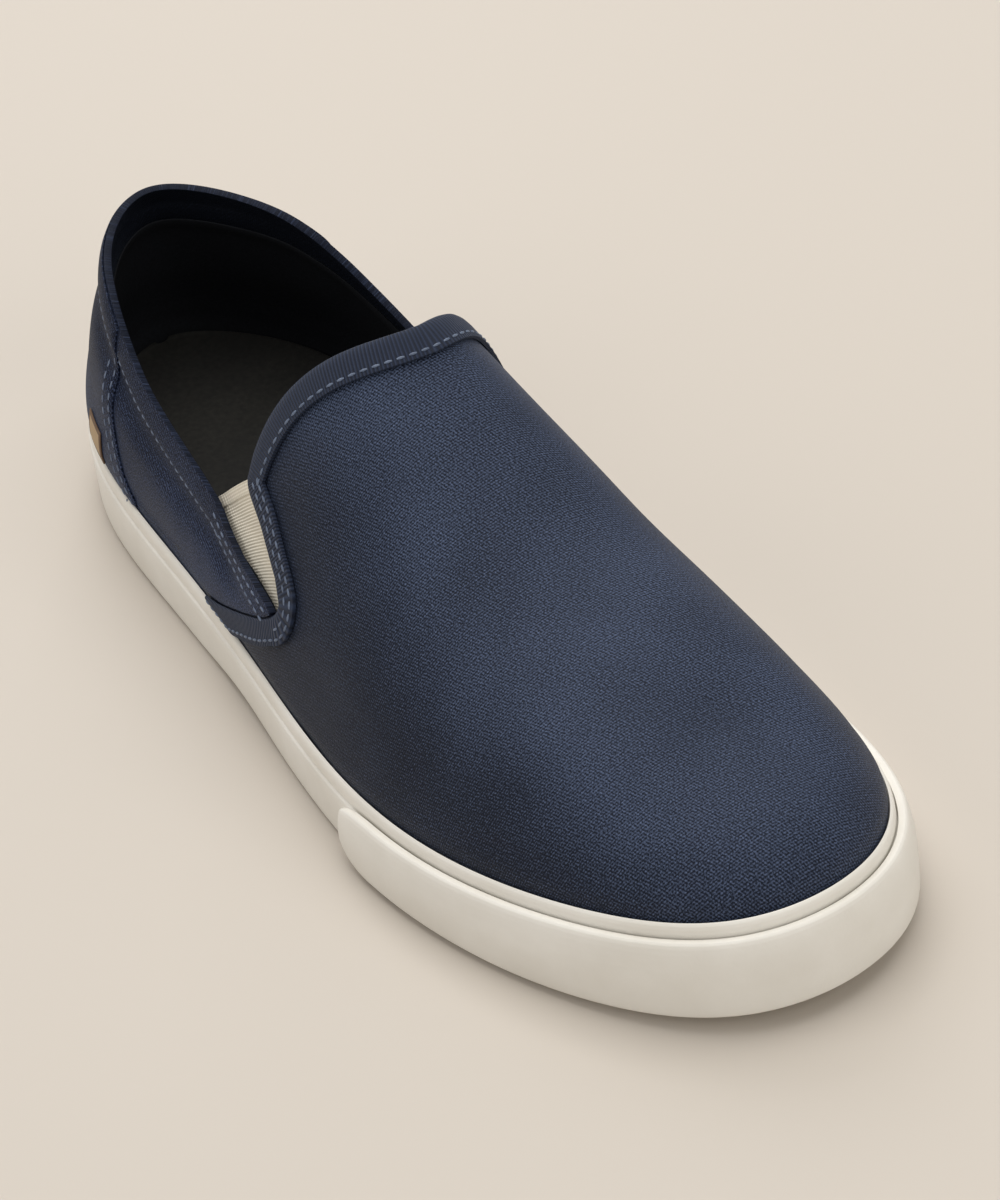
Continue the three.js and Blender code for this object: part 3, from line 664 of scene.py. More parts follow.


# Cotton twill, piece-dyed navy: a dull dark cloth whose long floats shine a little, so it
# pales where it faces the light. Fine wales cross it at a slant, cut into short floats. Down
# the sides its colour is darkened away from the middle line, as painted shade.
WALE_PITCH = 0.7
FLOAT_PITCH = 0.62
WALE_TURN = math.radians(65)
YARN_WOBBLE = 1.3
FLECK_SCALE = 2.1
FLECK_SHARE = 2.7
DYE_SCALE = 0.03
DYE_SHARE = 0.4
TWILL_BASE = -1.33  # brings the mean of all shares between the two colours
SIDE_SHADE = (22.0, 58.0)  # from the middle line down the sides, in millimetres


def calc(tree, operation, *values):
    """The result of one sum on values and sockets."""
    made = add_node(tree, "ShaderNodeMath", dict(enumerate(values)), operation=operation)
    return made.outputs["Value"]


def add_share(tree, value, share, base):
    """The base level plus a share of a value."""
    return calc(tree, "MULTIPLY_ADD", value, share, base)


def cloth_uv(tree):
    """The place on the flat cloth, in millimetres."""
    return add_node(tree, "ShaderNodeUVMap", uv_map="cloth").outputs["UV"]


def twill_material(name, dark, light, shine, bold=0.7):
    """Twill whose yarns stand out from each other by the bold share."""
    material, tree, surface = start_material(
        name, 0.55, 1.45, Specular_IOR_Level=shine, Specular_Tint="#c3cde6",
        Sheen_Weight=0.06, Sheen_Roughness=0.45, Sheen_Tint="#8f9bb5",
    )
    cloth = cloth_uv(tree)
    turned = add_node(tree, "ShaderNodeMapping", {"Vector": cloth, "Rotation": (0, 0, WALE_TURN)})
    wale = waves(tree, turned.outputs["Vector"], WALE_PITCH, wobble=YARN_WOBBLE, fine=2.0)
    floats = waves(tree, cloth, FLOAT_PITCH, wobble=YARN_WOBBLE, fine=2.0)
    across = add_node(tree, "ShaderNodeSeparateXYZ", {"Vector": cloth}).outputs["Y"]
    aside = calc(tree, "ABSOLUTE", across)
    # Painted shade: the colour darkens from the middle line down both sides.
    painted_side_shade = map_range(tree, aside, SIDE_SHADE, (0.0, -0.28), interpolation_type="SMOOTHSTEP")
    weave = calc(tree, "ADD", floats, wale)
    level = add_share(tree, weave, bold / 2, TWILL_BASE - bold / 2)
    level = add_share(tree, clouds(tree, cloth, FLECK_SCALE, 3.0, 0.7), FLECK_SHARE, level)
    level = add_share(tree, clouds(tree, cloth, DYE_SCALE), DYE_SHARE, level)
    level = calc(tree, "ADD", painted_side_shade, level)
    set_colour(tree, surface, level, dark, light)
    set_relief(tree, surface, level, 0.00025, 0.5)
    return material


navy_twill = twill_material("navy_cotton_twill", "#070c19", "#5c6a88", 0.4)


def wall_of(piece, thickness, rim=0.8, offset=-1.0):
    """Gives a sheet its thickness and rounds its cut or folded edges."""
    wall = piece.modifiers.new("wall", "SOLIDIFY")
    wall.thickness = thickness * MM
    wall.offset = offset
    wall.use_even_offset = False
    edge = piece.modifiers.new("edge", "BEVEL")
    edge.width = rim * thickness / 2 * MM
    edge.segments = 3
    edge.limit_method = "ANGLE"
    edge.angle_limit = math.radians(60)
    return piece


bm = form(130, 150, vamp_surface, lambda u, v: cloth_place(*vamp_grid(u, v)))

# All columns of the grid meet at the toe end of the ridge, where the cloth lies smooth.
MEETING_REACH = 7.0
SMOOTHINGS = 12
ridge_tip = Vector((last(np.array([math.pi]), np.array([AT_RIDGE]))[0] + TO_FRAME) * MM)
at_tip = [
    v for v in bm.verts if (v.co - ridge_tip).length < MEETING_REACH * MM and not v.is_boundary
]
for _ in range(SMOOTHINGS):
    bmesh.ops.smooth_vert(
        bm, verts=at_tip, factor=0.5, use_axis_x=True, use_axis_y=True, use_axis_z=True
    )
wall_of(piece_of(bm, "vamp", navy_twill, "upper"), WALL)

# Quarters. The sides and the back of the shoe, in the same twill, with a turned edge at
# the collar and at the front, where they lap over the vamp and bound the side cuts.
QUARTER_FRONT = [
    (0.355, 0.01), (0.372, 0.08), (0.4, 0.19), (0.442, 0.385), (0.478, 0.56), (0.494, 0.66),
    (0.4985, 0.71), (0.478, 0.762), (0.436, 0.815), (0.398, 0.91), (0.3716, 1.0),
]
TIP_KNOT = 6
KNOTS_BEFORE_CUT = 8
front_turn = [
    through([(up, float(on_side(along, up, inner)[0])) for along, up in QUARTER_FRONT])
    for inner in (False, True)
]


def by_side(inner, curves, at):
    """The value of the outer or the inner side's curve."""
    return np.where(inner, curves[1](at), curves[0](at))


def side_point(along, up):
    """Length and height of a point on the side, from its two shares."""
    x = along * SOLE_LENGTH
    return np.array([x, mix(band_top(turn_at(x)), collar_at(x), up)])


# Upper edge of the quarter on each side: the collar, then the rear edge of the side cut.
rims = []
for inner in (False, True):
    rows = [(s * SOLE_LENGTH, up * COLLAR_HEIGHT) for s, up in COLLAR[:KNOTS_BEFORE_CUT]]
    for along, up in QUARTER_FRONT[: TIP_KNOT - 1 : -1]:
        rows.append(side_point(side_x(along, inner) / SOLE_LENGTH, up))
    rims.append(through(rows))

# Folds of the quarters: along the shoe and height share at each end, width, height.
QUARTER_FOLDS = [
    (0.17, 0.52, 0.34, 0.5, 8.0, 0.9), (0.34, 0.5, 0.43, 0.58, 6.0, -0.6),
    (0.24, 0.06, 0.36, 0.2, 6.5, -0.9), (0.06, 0.35, 0.09, 0.62, 9.0, 0.4),
]
EDGE_ROLL = 0.4
EDGE_WIDTH = 4.6
SEAM_SINK = 1.3
SEAM_DROP = 9.0


def quarter_relief(turn, girth):
    """The thick turned edge, the line its stitches pull in, and the folds below."""
    inner = girth > AT_RIDGE
    x = along_at(turn)
    z = last(turn, girth)[:, 2]
    drop = by_side(inner, rims, x) - z
    up = (z - band_top(turn)) / (collar_at(x) - band_top(turn))
    held = smooth(up / 0.15) * smooth((by_side(inner, front_turn, up) - turn) / 0.17)
    roll = EDGE_ROLL * (1 - smooth((drop - EDGE_WIDTH) / 1.6)) * smooth(up / 0.4)
    sink = -SEAM_SINK * np.exp(-(((drop - SEAM_DROP) / 3.2) ** 2)) * held
    here = np.stack([x, mix(band_top(turn), collar_at(x), up)], -1)
    return roll + sink + fold_height(here, QUARTER_FOLDS, side_point) * held


def girth_at_up(turn, up, inner):
    low = band_top(turn) + FIT
    above = angle_at(turn, mix(low, collar_at(along_at(turn)), np.maximum(up, 0)))
    below = angle_at(turn, low) * (up + 1)
    angle = np.where(up >= 0, above, np.where(up > -1, below, up + 1))
    return np.where(inner, math.pi - angle, angle)


def quarter_up(v):
    return np.interp(v, [0, 0.05, 0.1, 1], [-2, -1, 0, 1])


def quarter_grid(u, v):
    share = 1 - 2 * u
    up = quarter_up(v)
    turn = np.abs(share) * by_side(share > 0, front_turn, up)
    return turn, girth_at_up(turn, up, share > 0), up, share


def on_quarter(turn, girth, off=0.0):
    """Point over the outside of the quarter."""
    return skin(turn, girth, off + quarter_relief(turn, girth), QUARTER_STEP)


def quarter_surface(u, v):
    return on_quarter(*quarter_grid(u, v)[:2])


heel_turns = np.linspace(0, math.pi, 400)
heel_way = way_along(np.stack(outline(heel_turns, UPPER_INSET), -1))


def side_cloth(grid):
    """Places on the flat cloth: round the back from the middle of the heel, and up."""

    def cloth_at(u, v):
        turn, girth, _up, share = grid(u, v)
        round_heel = np.sign(share) * np.interp(turn, heel_turns, heel_way)
        return np.stack([round_heel, last(turn, girth)[:, 2]], -1)

    return cloth_at


# The quarters are cut with the wales the other way, in a shaded copy of the twill: a little
# darker and less shiny, as painted shade for the sides. Their turned-in facing is painted
# near black for the shade inside the collar, and at the fold the weave is pressed flat.
# Painted shade: a darker, less shiny copy of the twill for the sides and the counter.
shaded_side_twill = twill_material("navy_cotton_twill_shaded_sides", "#080d1c", "#56658a", 0.22)
# Painted shade: the inside face near black, for the shadow inside the collar.
facing_twill_painted_shade = twill_material("navy_twill_facing_painted_shade", "#05070c", "#1b202e", 0.2)
fold_twill = twill_material("navy_twill_fold", "#070c1a", "#46526f", 0.22, bold=0.1)
bm = form(240, 70, quarter_surface, side_cloth(quarter_grid))
quarters = wall_of(piece_of(bm, "quarters", shaded_side_twill, "upper"), WALL)
quarters.data.materials.append(facing_twill_painted_shade)
quarters.data.materials.append(fold_twill)
quarters.modifiers["wall"].material_offset = 1
quarters.modifiers["wall"].material_offset_rim = 2

# Throat tape. A ribbed cotton tape is folded over the raw edge of the vamp, from the
# foxing round the point of each side cut, up its front edge and across the throat.
TAPE_WIDTH = 6.5
TAPE_THICKNESS = 0.9
TAPE_ROUND = 16.0  # the way round the folded tape
TAPE_TURN = 0.7  # where the tape begins to turn round the edge
RIB_PITCH = 0.85
REAR_TIP_KNOT = 4
TAPE_COLUMNS = 420

# Distance in from the edge and height off the vamp of the middle of the tape, across it.
TAPE_FOLDS = {
    "beside": [
        (6.5, 0.72), (5.6, 0.74), (4.5, 0.74), (3.4, 0.74), (2.6, 0.74), (2.0, 0.74), (1.6, 0.74),
        (1.3, 0.72), (1.1, 0.7), (1.0, 0.68), (0.9, 0.66), (0.8, 0.6), (0.75, 0.5),
    ],
    "side": [
        (6.5, 0.72), (5.6, 0.78), (4.5, 0.82), (3.2, 0.84), (2.0, 0.86), (1.0, 0.82), (0.3, 0.68),
        (-0.3, 0.4), (-0.65, 0.0), (-0.75, -0.5), (-0.75, -0.9), (-0.75, -1.2), (-0.7, -1.5),
    ],
    "throat": [
        (6.5, 0.72), (5.6, 0.78), (4.5, 0.82), (3.2, 0.84), (1.6, 0.86), (0.3, 0.74), (-0.6, 0.4),
        (-1.1, -0.3), (-1.15, -1.1), (-0.9, -1.9), (-0.2, -2.55), (1.4, -2.8), (4.0, -2.8),
    ],
}


def tape_path():
    """Turn, girth, how free the edge is and how far it is folded, along the tape."""
    rows = []
    for inner in (False, True):
        low = [(along, up, 0.0) for along, up in QUARTER_FRONT[1:TIP_KNOT]]
        high = [(along, up, 1.0) for along, up in VAMP_REAR[REAR_TIP_KNOT:]]
        side = [(*on_side(along, up, inner), free, 0.0) for along, up, free in low + high]
        if inner:
            rows += side[::-1]
            continue
        rows += side
        for lane in np.linspace(corner_out[0], corner_in[0], 31)[1:-1]:
            turn = vamp_rear(lane)
            rows.append((turn, girth_of_lane(turn, lane), 1.0, 1.0))
    knots = np.array(rows, float)
    way = way_along(last(knots[:, 0], knots[:, 1]))
    fine = np.linspace(0, way[-1], TAPE_COLUMNS + 1)
    columns = [through(np.stack([way, knots[:, k]], -1))(fine) for k in range(4)]
    for _ in range(6):
        for k in (2, 3):
            columns[k][1:-1] = (columns[k][:-2] + columns[k][1:-1] * 2 + columns[k][2:]) / 4
    return [fine, *columns]


def path_frame(turn, girth, off=0.0):
    """Points of a path on the cloth, its inward direction and its normal."""
    points = skin(turn, girth, off)
    ahead = np.gradient(points, axis=0)
    ahead /= np.linalg.norm(ahead, axis=1, keepdims=True)
    normal = frame_at(turn, girth)[2]
    inward = np.cross(ahead, normal)
    return points, inward / np.linalg.norm(inward, axis=1, keepdims=True), normal


def walk(turn, girth, direction, distance, steps=4):
    """Goes a distance over the surface from each start, keeping to a direction."""
    turn, girth = np.array(turn, float), np.array(girth, float)
    h = np.asarray(distance, float) / steps
    for _ in range(steps):
        forward, over, _normal = frame_at(turn, girth)
        a, b, c = (forward * forward).sum(-1), (forward * over).sum(-1), (over * over).sum(-1)
        d, e = (forward * direction).sum(-1), (over * direction).sum(-1)
        det = a * c - b * b
        turn = turn + (c * d - b * e) / det * h
        girth = girth + (a * e - b * d) / det * h
    return turn, girth


tape_way, tape_turn, tape_girth, tape_free, tape_over = tape_path()
tape_edge, tape_inward, tape_normal = path_frame(tape_turn, tape_girth)
above_band = tape_edge[:, 2] - band_top(tape_turn) - TAPE_THICKNESS
room_down = above_band / np.maximum(-tape_inward[:, 2], 0.01)
tape_room = np.where(tape_inward[:, 2] < 0, np.minimum(TAPE_WIDTH, room_down), TAPE_WIDTH)


def tape_surface(u, v):
    i = np.rint(u * TAPE_COLUMNS).astype(int)
    beside, side, throat = [np.array(along_profile(rows, v)) for rows in TAPE_FOLDS.values()]
    s, h = mix(mix(beside, side, tape_free[i]), throat, tape_over[i])
    narrowed = mix(TAPE_TURN, tape_room[i], (s - TAPE_TURN) / (TAPE_WIDTH - TAPE_TURN))
    s = np.where(s > TAPE_TURN, narrowed, s)
    turn, girth = walk(tape_turn[i], tape_girth[i], tape_inward[i], np.maximum(s, 0))
    on_cloth = skin(turn, girth, h)
    past = tape_edge[i] + tape_inward[i] * s[:, None] + tape_normal[i] * h[:, None]
    return np.where((s > 0)[:, None], on_cloth, past)


def tape_cloth(u, v):
    return np.stack([u * tape_way[-1], v * TAPE_ROUND], -1)


# Grosgrain tape: cotton with heavy cross ribs, the same navy as the twill and a little
# cleaner, because the ribs catch the light along their tops.
navy_grosgrain, tree, surface = start_material(
    "navy_grosgrain_tape", 0.68, 1.45, Specular_IOR_Level=0.35, Sheen_Weight=0.15,
    Sheen_Tint="#8f9bb5",
)
cloth = cloth_uv(tree)
ribs = waves(tree, cloth, RIB_PITCH, wobble=0.15)
level = add_share(tree, clouds(tree, cloth, 3.0), 0.3, calc(tree, "MULTIPLY", ribs, 0.6))
set_colour(tree, surface, level, "#080d1a", "#2b3750")
set_relief(tree, surface, ribs, 0.0003, 0.8)

bm = form(TAPE_COLUMNS, 24, tape_surface, tape_cloth)
tape = piece_of(bm, "throat_tape", navy_grosgrain, "throat_binding")
wall_of(tape, TAPE_THICKNESS, offset=0.0)

# Gores. A woven elastic web, cream, sewn behind both edges of each side cut, so that the
# cut can open. It is woven with cross ribs, and its top end is folded over and pressed.
GORE_THICKNESS = 1.0
GORE_LENGTH = 38.0
GORE_WIDTH = 20.0
GORE_ARCH = 1.4
GORE_HEM = 0.3
GORE_RIB_PITCH = 0.8
GORE_YARN_PITCH = 0.7
GORE_RIB_HEIGHT = 0.06
GORE_CORNERS = [(0.357, 0.92), (0.433, 1.62), (0.484, 0.47), (0.519, 0.61)]


def gore_surface(inner):
    a, b, c, d = [[float(x) for x in on_side(along, up, inner)] for along, up in GORE_CORNERS]

    def surface_at(u, v):
        across = 1 - u if inner else u
        turn = mix(mix(c[0], d[0], across), mix(a[0], b[0], across), v)
        girth = mix(mix(c[1], d[1], across), mix(a[1], b[1], across), v)
        arch = GORE_ARCH * (1 - (2 * u - 1) ** 2) * v
        girth = girth + (-1 if inner else 1) * arch / GORE_LENGTH * abs(a[1] - c[1])
        ribs = GORE_RIB_HEIGHT * np.sin(TAU * v * GORE_LENGTH / GORE_RIB_PITCH)
        raised = ribs * smooth((0.9 - v) / 0.02) + GORE_HEM * smooth((v - 0.905) / 0.012)
        return skin(turn, girth, raised - WALL - FIT - FACET - GORE_RIB_HEIGHT)

    return surface_at


# Elastic web: cream cotton over rubber yarns, dull, with painted shade in the hollow between
# each two ribs and a fine thread texture across them.
cream_web, tree, surface = start_material("cream_elastic_web", 0.85, 1.45, Sheen_Weight=0.2)
cloth = cloth_uv(tree)
# Painted shade: the colour darkens in the hollow between each two ribs.
painted_hollow_shade = waves(tree, cloth, GORE_RIB_PITCH, "Y", wobble=0.2)
yarns = waves(tree, cloth, GORE_YARN_PITCH, wobble=1.0)
level = add_share(tree, yarns, 0.2, add_share(tree, painted_hollow_shade, 0.7, 0.1))
set_colour(tree, surface, level, "#d0c5af", "#f0e9d9")
set_relief(tree, surface, yarns, 0.0002, 0.5)


def flat_cloth(length, height):
    """Places on a flat cloth of two lengths."""
    return lambda u, v: np.stack([u * length, v * height], -1)


for side, inner in (("lateral", False), ("medial", True)):
    bm = form(16, 264, gore_surface(inner), flat_cloth(GORE_WIDTH, GORE_LENGTH))
    web = piece_of(bm, "gore_web_" + side, cream_web, "gore_" + side)
    wall_of(web, GORE_THICKNESS)

# Heel counter. A second layer of twill round the back, from foxing to collar, with its
# front edges turned under and sewn down. A small woven tab is sewn on at the outer side.
COUNTER_THICKNESS = 0.9
COUNTER_WALL = 0.4
COUNTER_LIE = 0.8
COUNTER_EDGE_LIE = 0.42
SIDE_HEIGHT = 45.0  # from the foxing to the collar at the heel
COUNTER_FRONT = [(0.23, 0.0), (0.2, 0.35), (0.172, 0.7), (0.148, 1.0)]
counter_front = through([(up, float(turn_at(s * SOLE_LENGTH))) for s, up in COUNTER_FRONT])


def counter_grid(u, v):
    share = 1 - 2 * u
    up = mix(0.004, 0.985, v)
    turn = np.abs(share) * counter_front(up)
    return turn, girth_at_up(turn, up, share > 0), up, share


def counter_surface(u, v):
    """The layer thins out towards its turned front edges, its foot and the collar."""
    turn, girth, up, share = counter_grid(u, v)
    from_edge = (1 - np.abs(share)) * counter_front(up) * SOLE_LENGTH / 2 * np.sin(turn)
    from_top = (1 - up) * SIDE_HEIGHT
    whole = smooth(from_edge / 2) * smooth(from_top / 3)
    return on_quarter(turn, girth, mix(COUNTER_EDGE_LIE, COUNTER_LIE, whole))


bm = form(130, 50, counter_surface, side_cloth(counter_grid))
counter = piece_of(bm, "heel_counter_panel", shaded_side_twill, "heel_counter")
wall_of(counter, COUNTER_WALL)

# The tab's own sizes and its place along the sole.
LABEL_ALONG = 0.145
LABEL_LENGTH = 11.0
LABEL_HEIGHT = 9.0
LABEL_THICKNESS = 0.8
LABEL_BORDER = 1.1
LABEL_ABOVE_FOXING = 1.5
PICK_PITCH = 0.5
label_turn = float(turn_at(LABEL_ALONG * SOLE_LENGTH))
label_step = frame_at(np.array([label_turn]), np.array([0.2]))[0]
label_span = LABEL_LENGTH / float(np.linalg.norm(label_step))


def label_surface(u, v):
    turn = label_turn + (u - 0.5) * label_span
    z = band_top(turn) + LABEL_ABOVE_FOXING + v * LABEL_HEIGHT
    return on_quarter(turn, angle_at(turn, z), COUNTER_THICKNESS + LABEL_THICKNESS / 2)


def in_border(tree, place, size):
    """1 within the border at both ends of a size, 0 between them."""
    from_middle = calc(tree, "ABSOLUTE", calc(tree, "SUBTRACT", place, size / 2))
    return calc(tree, "GREATER_THAN", from_middle, size / 2 - LABEL_BORDER)


# Woven tab: plain tan polyester with a darker brown woven border.
tan_tab, tree, surface = start_material("tan_woven_tab", 0.7, 1.5)
cloth = cloth_uv(tree)
parts = add_node(tree, "ShaderNodeSeparateXYZ", {"Vector": cloth}).outputs
at_end = in_border(tree, parts["X"], LABEL_LENGTH)
border = calc(tree, "MAXIMUM", at_end, in_border(tree, parts["Y"], LABEL_HEIGHT))
set_colour(tree, surface, border, "#b39a78", "#6a513b")
set_relief(tree, surface, waves(tree, cloth, PICK_PITCH, "Y"), 0.0001, 0.6)

bm = form(24, 20, label_surface, flat_cloth(LABEL_LENGTH, LABEL_HEIGHT))
tab = piece_of(bm, "heel_tab", tan_tab, "heel_label")
wall_of(tab, LABEL_THICKNESS / 2, rim=0.6)

# Lining. A thin black cloth is glued to the inside of vamp and quarters, and starts below
# the turned edge of the collar and the leg of the throat tape.
LINING_THICKNESS = 0.35
LINING_DEPTH = WALL + 0.06
LINING_BELOW_COLLAR = 9.0
LINING_BEHIND_TAPE = 0.015
LINING_BEHIND_FRONT = 0.005


def quarter_lining(u, v):
    share = 1 - 2 * u
    top = 1 - LINING_BELOW_COLLAR / SIDE_HEIGHT
    up = np.interp(v, [0, 0.08, 0.16, 1], [-2, -1, 0, top])
    turn = np.abs(share) * (by_side(share > 0, front_turn, up) - LINING_BEHIND_FRONT)
    return on_quarter(turn, girth_at_up(turn, up, share > 0), -LINING_DEPTH)


def vamp_lining(u, v):
    lane = vamp_lane(v)
    turn = mix(vamp_rear(lane) + LINING_BEHIND_TAPE, math.pi - 0.01, u**ROW_SPREAD)
    return skin(turn, girth_of_lane(turn, lane), -LINING_DEPTH)


# Black cotton drill lining: flat and very dark, with a faint plain weave.
black_drill, tree, surface = start_material("black_drill_lining", 0.9, 1.45, Specular_IOR_Level=0.2)
fibre = clouds(tree, object_place(tree), 1400.0)
set_colour(tree, surface, fibre, "#0c0d10", "#1c1e23")
set_relief(tree, surface, fibre, 0.0002, 0.5)

bm = form(160, 40, quarter_lining)
wall_of(piece_of(bm, "quarter_lining", black_drill), LINING_THICKNESS)
bm = form(70, 90, vamp_lining)
wall_of(piece_of(bm, "vamp_lining", black_drill), LINING_THICKNESS)

# Insole. A die-cut foam sock with a black brushed cover lies loose on the footbed. Its
# rim is turned up where it meets the upper, and the heel and ball have worn in a little.
INSOLE_THICKNESS = 4.0
INSOLE_INSET = UPPER_INSET + WALL + FIT + FACET
WORN_SPOTS = [(0.13, 0.5), (0.68, 0.4)]  # share of the length, depth
WORN_REACH = 0.09

# Share of the way across and height over the footbed, round the sock's section.
INSOLE_SIDE = [
    (0.0, 0.0), (0.0, 0.6), (0.0, 1.08), (0.003, 1.2), (0.012, 1.24), (0.03, 1.2),
    (0.07, 1.12), (0.14, 1.05), (0.3, 1.01), (0.5, 1.0),
]
other_side = [(1 - share, height) for share, height in INSOLE_SIDE[-2::-1]]
INSOLE_SECTION = INSOLE_SIDE + other_side + [(0.5, 0.0), (0.0, 0.0)]


def insole_surface(u, v):
    turn = mix(0.05, math.pi - 0.05, u)
    share, height = along_profile(INSOLE_SECTION, v)
    x0, y0 = outline(turn, INSOLE_INSET)
    x1, y1 = outline(TAU - turn, INSOLE_INSET)
    low = seat(turn) + FIT
    s = along_at(turn) / SOLE_LENGTH
    worn = sum(deep * np.exp(-(((s - at) / WORN_REACH) ** 2)) for at, deep in WORN_SPOTS)
    middle = np.sin(math.pi * share) ** 2 * (height > 0.9)
    z = low + INSOLE_THICKNESS * height - worn * middle
    return np.stack([mix(x0, x1, share), mix(y0, y1, share), z], -1)


# Black brushed sock cloth: near black with a soft nap that greys it slightly.
black_sock, tree, surface = start_material("black_brushed_sock", 0.8, 1.45, Specular_IOR_Level=0.3)
place = object_place(tree)
nap = clouds(tree, place, 700.0, 3.0)
level = calc(tree, "MULTIPLY", nap, clouds(tree, place, 25.0))
set_colour(tree, surface, level, "#121213", "#35342f")
set_relief(tree, surface, nap, 0.0002, 0.4)

bm = form(160, 60, insole_surface)
bmesh.ops.holes_fill(bm, edges=[e for e in bm.edges if e.is_boundary])
bmesh.ops.recalc_face_normals(bm, faces=bm.faces)
piece_of(bm, "sock_insole", black_sock, "insole", sharp=60)

# Stitching. Polyester lockstitch in a lighter blue grey: one row round the throat tape,
# two down its sides, two on the front of each quarter, one below the collar and two on
# each front edge of the counter. Each stitch is a small bead of thread, half sunk in.
STITCH_PITCH = 2.9
STITCH_LENGTH = 2.2
THREAD_WIDTH = 0.72
THREAD_HEIGHT = 0.6
THREAD_SINK = 0.05
TAPE_FACE = 0.83 + TAPE_THICKNESS / 2 - THREAD_SINK
TAPE_ROW = 5.3
TAPE_SIDE_ROW = 2.9


def stitch_row(bm, points, normal):
    """Beads of thread along a path on the cloth, given closely spaced."""
    ahead = np.gradient(points, axis=0)
    way = way_along(points)
    halves = np.array([STITCH_LENGTH, THREAD_WIDTH, THREAD_HEIGHT]) / 2
    for at in np.arange(STITCH_PITCH / 2, way[-1] - STITCH_LENGTH / 2, STITCH_PITCH):
        p, a, n = [
            np.array([np.interp(at, way, column) for column in values.T])
            for values in (points, ahead, normal)
        ]
        a /= np.linalg.norm(a)
        side = np.cross(n, a)
        side /= np.linalg.norm(side)
        axes = np.stack([a, side, np.cross(a, side)], -1) * halves
        rows = np.column_stack([axes, p + TO_FRAME]) * MM
        place = Matrix([*rows.tolist(), (0, 0, 0, 1)])
        bmesh.ops.create_uvsphere(bm, u_segments=6, v_segments=5, radius=1.0, matrix=place)


# Polyester thread: smooth and a little shiny, paler than the cloth.
blue_thread, tree, surface = start_material("blue_grey_thread", 0.5, 1.5)
ply = clouds(tree, object_place(tree), 500.0)
set_colour(tree, surface, ply, "#3a465c", "#77859d")


def tape_row(bm, keep, inward):
    """A row of stitches at a distance in from the edge of the tape."""
    turn, girth = walk(tape_turn[keep], tape_girth[keep], tape_inward[keep], inward[keep])
    stitch_row(bm, skin(turn, girth, TAPE_FACE), frame_at(turn, girth)[2])


step = np.arange(len(tape_way))
bm = bmesh.new()
tape_row(bm, step >= 0, np.minimum(TAPE_ROW, tape_room * 0.8))
for half in (step < len(step) / 2, step > len(step) / 2):
    on_leg = (tape_free > 0.5) & (tape_over < 0.3) & half
    tape_row(bm, on_leg, np.full(len(step), TAPE_SIDE_ROW))
piece_of(bm, "tape_stitches", blue_thread)


def edge_stitches(name, fronts, ups, rows):
    """Rows of stitches beside the front edges of both sides, as one piece."""
    bm = bmesh.new()
    for inner in (False, True):
        turn = fronts[inner](ups)
        girth = girth_at_up(turn, ups, np.full(len(ups), inner))
        inward = path_frame(turn, girth, QUARTER_STEP)[1]
        for distance, lie in rows:
            t, g = walk(turn, girth, inward if inner else -inward, distance)
            stitch_row(bm, on_quarter(t, g, lie - THREAD_SINK), frame_at(t, g)[2])
    piece_of(bm, name, blue_thread)


# Each row by its distance from the edge and how far the cloth there lies off the quarter.
front_rows = [(1.9, 0.0), (4.6, 0.0)]
edge_stitches("quarter_front_stitches", front_turn, np.linspace(0.735, 0.985, 160), front_rows)

COLLAR_ROW = 5.6
COLLAR_ROW_UP = 0.86
bm = bmesh.new()
shares = np.linspace(1, -1, 700)
turn = np.abs(shares) * by_side(shares > 0, front_turn, COLLAR_ROW_UP) * 0.985
angle = angle_at(turn, collar_at(along_at(turn)) - COLLAR_ROW)
girth = np.where(shares > 0, math.pi - angle, angle)
on_counter = COUNTER_LIE * smooth((counter_front(0.9) - turn) / 0.03)
points = on_quarter(turn, girth, on_counter - THREAD_SINK)
stitch_row(bm, points, frame_at(turn, girth)[2])
piece_of(bm, "collar_stitches", blue_thread)

counter_fronts = [counter_front, counter_front]
counter_rows = [(1.5, 0.7), (5.0, 0.8)]
edge_stitches("counter_stitches", counter_fronts, np.linspace(0.02, 0.87, 160), counter_rows)

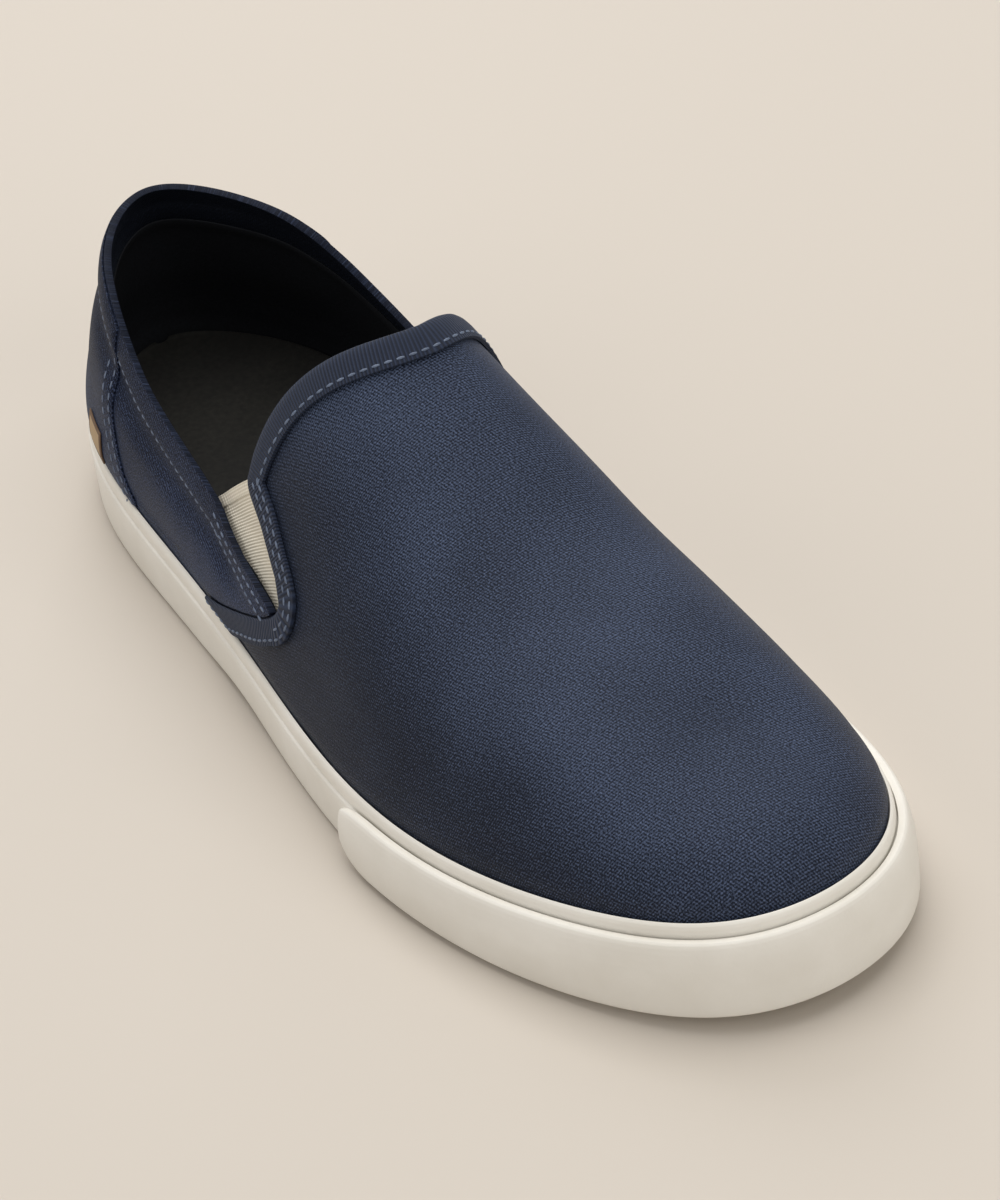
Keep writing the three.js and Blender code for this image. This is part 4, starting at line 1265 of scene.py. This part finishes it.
# Studio. A pale warm floor, a large soft light overhead, a second one behind the heel, and
# two weak fills, one from the outer side and one from the toe.
LIGHTS_AIM = (0, 0, 0.03)
floor_paint, tree, surface = start_material("pale_floor", 0.85, 1.45, Base_Color="#cec6bc")
bm = bmesh.new()
bmesh.ops.create_grid(bm, x_segments=1, y_segments=1, size=6.0)
floor_mesh = bpy.data.meshes.new("floor")
bm.to_mesh(floor_mesh)
bm.free()
floor_mesh.materials.append(floor_paint)
new_object("floor", floor_mesh)


def soft_light(name, place, size, watts, colour):
    lamp = bpy.data.lights.new(name, "AREA")
    lamp.shape = "RECTANGLE"
    lamp.size, lamp.size_y = size
    lamp.energy = watts
    lamp.color = linear(colour)[:3]
    holder = new_object(name, lamp)
    holder.location = place
    way_in = Vector(LIGHTS_AIM) - Vector(place)
    holder.rotation_euler = way_in.to_track_quat("-Z", "Y").to_euler()


soft_light("overhead_soft_box", (-0.1, 0.25, 1.6), (1.6, 1.4), 16.5, "#fffdf9")
soft_light("back_soft_box", (-1.25, 0.35, 1.1), (1.5, 1.0), 11.0, "#fdfdff")
soft_light("side_fill", (-0.2, -1.3, 0.9), (1.4, 1.2), 4.6, "#fcfbfa")
soft_light("toe_fill", (1.3, 0.2, 0.8), (1.2, 1.2), 5.5, "#fffdf9")
world = bpy.data.worlds.new("studio")
world.use_nodes = True
set_inputs(world.node_tree.nodes["Background"], {"Color": "#fbf8f4", "Strength": 0.33})
bpy.context.scene.world = world
bpy.context.scene.view_settings.view_transform = "Standard"

# Camera. It stands where the photograph's did, seen from the shoe, and looks at the middle
# of the shoe through a long lens, turned a little on its side.
camera_data = bpy.data.cameras.new("camera")
camera_data.sensor_width = 36.0
camera_data.lens = 126.99
camera_data.clip_start = 0.05
camera = new_object("camera", camera_data)
camera_place = Vector((0.69454, -0.33971, 0.61165))
camera_aim = Vector((0.0106, 0.01071, 0.02383))
CAMERA_ROLL = math.radians(-8.079)
camera.location = camera_place
look = (camera_aim - camera_place).to_track_quat("-Z", "Y").to_matrix()
camera.rotation_euler = (look @ Matrix.Rotation(CAMERA_ROLL, 3, "Z")).to_euler()
bpy.context.scene.camera = camera
